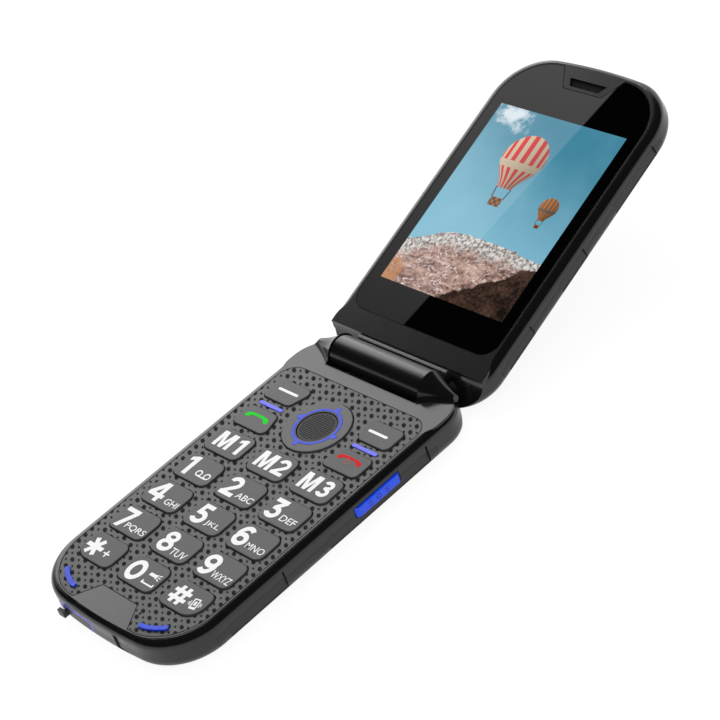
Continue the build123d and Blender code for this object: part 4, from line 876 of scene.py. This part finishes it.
def studio_world():
    """White paper all round and in view, a soft diffuse light, and a dark sky for reflections
    whose straight edge crosses the mirror image of the lid's glass."""
    normal = LID.to_3x3() @ Vector((0, 0, 1))
    # two points above the glass, on the line where the reflection's edge is to fall
    first, second = ((LID @ Vector((*spot, LID_FACE_DROP))) / 1000 for spot in ((-6.1, 0), (4.7, 60)))
    mirrored = CAMERA - 2 * (CAMERA - first).dot(normal) * normal
    split = (first - mirrored).cross(second - mirrored).normalized()
    if split.x > 0:
        split.negate()
    world = bpy.data.worlds.new("studio")
    world.use_nodes = True
    bpy.context.scene.world = world
    g = Graph(world.node_tree)
    path = g.add("ShaderNodeLightPath")
    direction = g.add("ShaderNodeTexCoord").outputs["Generated"]
    dot = g.add("ShaderNodeVectorMath", operation="DOT_PRODUCT")
    g.tree.links.new(direction, dot.inputs[0])
    dot.inputs[1].default_value = split
    side = Value(g, dot.outputs["Value"])
    xyz = g.add("ShaderNodeSeparateXYZ")
    g.tree.links.new(direction, xyz.inputs[0])
    beyond = Value(g, xyz.outputs[1])       # how far a direction points from the keypad to the lid
    height = Value(g, xyz.outputs[2])
    panel = side.step(-PANEL_EDGE, PANEL_EDGE) * beyond.step(*PANEL_START)
    panel = panel * g.ramp(beyond, *PANEL_FADE, *PANEL_LIGHT, smooth=False)
    horizon = height.step(*HORIZON) * HORIZON_LIGHT
    mirror_light = panel + (1 - panel.min(1.0)) * horizon
    camera_ray = Value(g, path.outputs["Is Camera Ray"])
    glossy_ray = Value(g, path.outputs["Is Glossy Ray"]).max(
        Value(g, path.outputs["Is Transmission Ray"]))
    strength = camera_ray + (1 - camera_ray) * (
        glossy_ray * mirror_light + (1 - glossy_ray) * ROOM_LIGHT)
    back = g.add("ShaderNodeBackground")
    back.inputs["Color"].default_value = (1, 1, 1, 1)
    g.put(back.inputs["Strength"], strength)
    out = g.add("ShaderNodeOutputWorld")
    g.tree.links.new(back.outputs[0], out.inputs["Surface"])


LAMP_AIM = Vector((0, 0.03, 0.01))      # near the phone's middle


def soft_lamp(name, direction, away, size, energy, mirrored=False):
    """Square lamp on one side of the phone. It lights matt surfaces, or only reflections."""
    lamp = bpy.data.lights.new(name, "AREA")
    lamp.size, lamp.energy = size, energy
    holder = bpy.data.objects.new(name, lamp)
    bpy.context.scene.collection.objects.link(holder)
    towards = Vector(direction).normalized()
    holder.location = LAMP_AIM + towards * away
    holder.rotation_euler = towards.to_track_quat("Z", "Y").to_euler()
    holder.visible_camera = False
    holder.visible_glossy = mirrored
    holder.visible_diffuse = not mirrored


def photo_camera():
    data = bpy.data.cameras.new("camera")
    data.lens, data.sensor_width, data.sensor_fit = 111.65, 36, "HORIZONTAL"
    data.clip_start, data.clip_end = 0.01, 50
    holder = bpy.data.objects.new("camera", data)
    bpy.context.scene.collection.objects.link(holder)
    turn = Matrix((RIGHT, -DOWN, -FORWARD)).transposed().to_4x4()
    holder.matrix_world = Matrix.Translation(CAMERA) @ turn
    bpy.context.scene.camera = holder


studio_floor()
studio_world()
soft_lamp("key_lamp", (-0.62, 0.35, 0.78), 0.9, 0.8, 4.6)
soft_lamp("soft_box", (-0.80, 0.41, 0.44), 0.9, 0.58, 2.2, mirrored=True)
soft_lamp("fill_lamp", (0.75, -0.55, 0.62), 1.0, 0.9, 2.6)
photo_camera()
bpy.context.scene.view_settings.view_transform = "Standard"
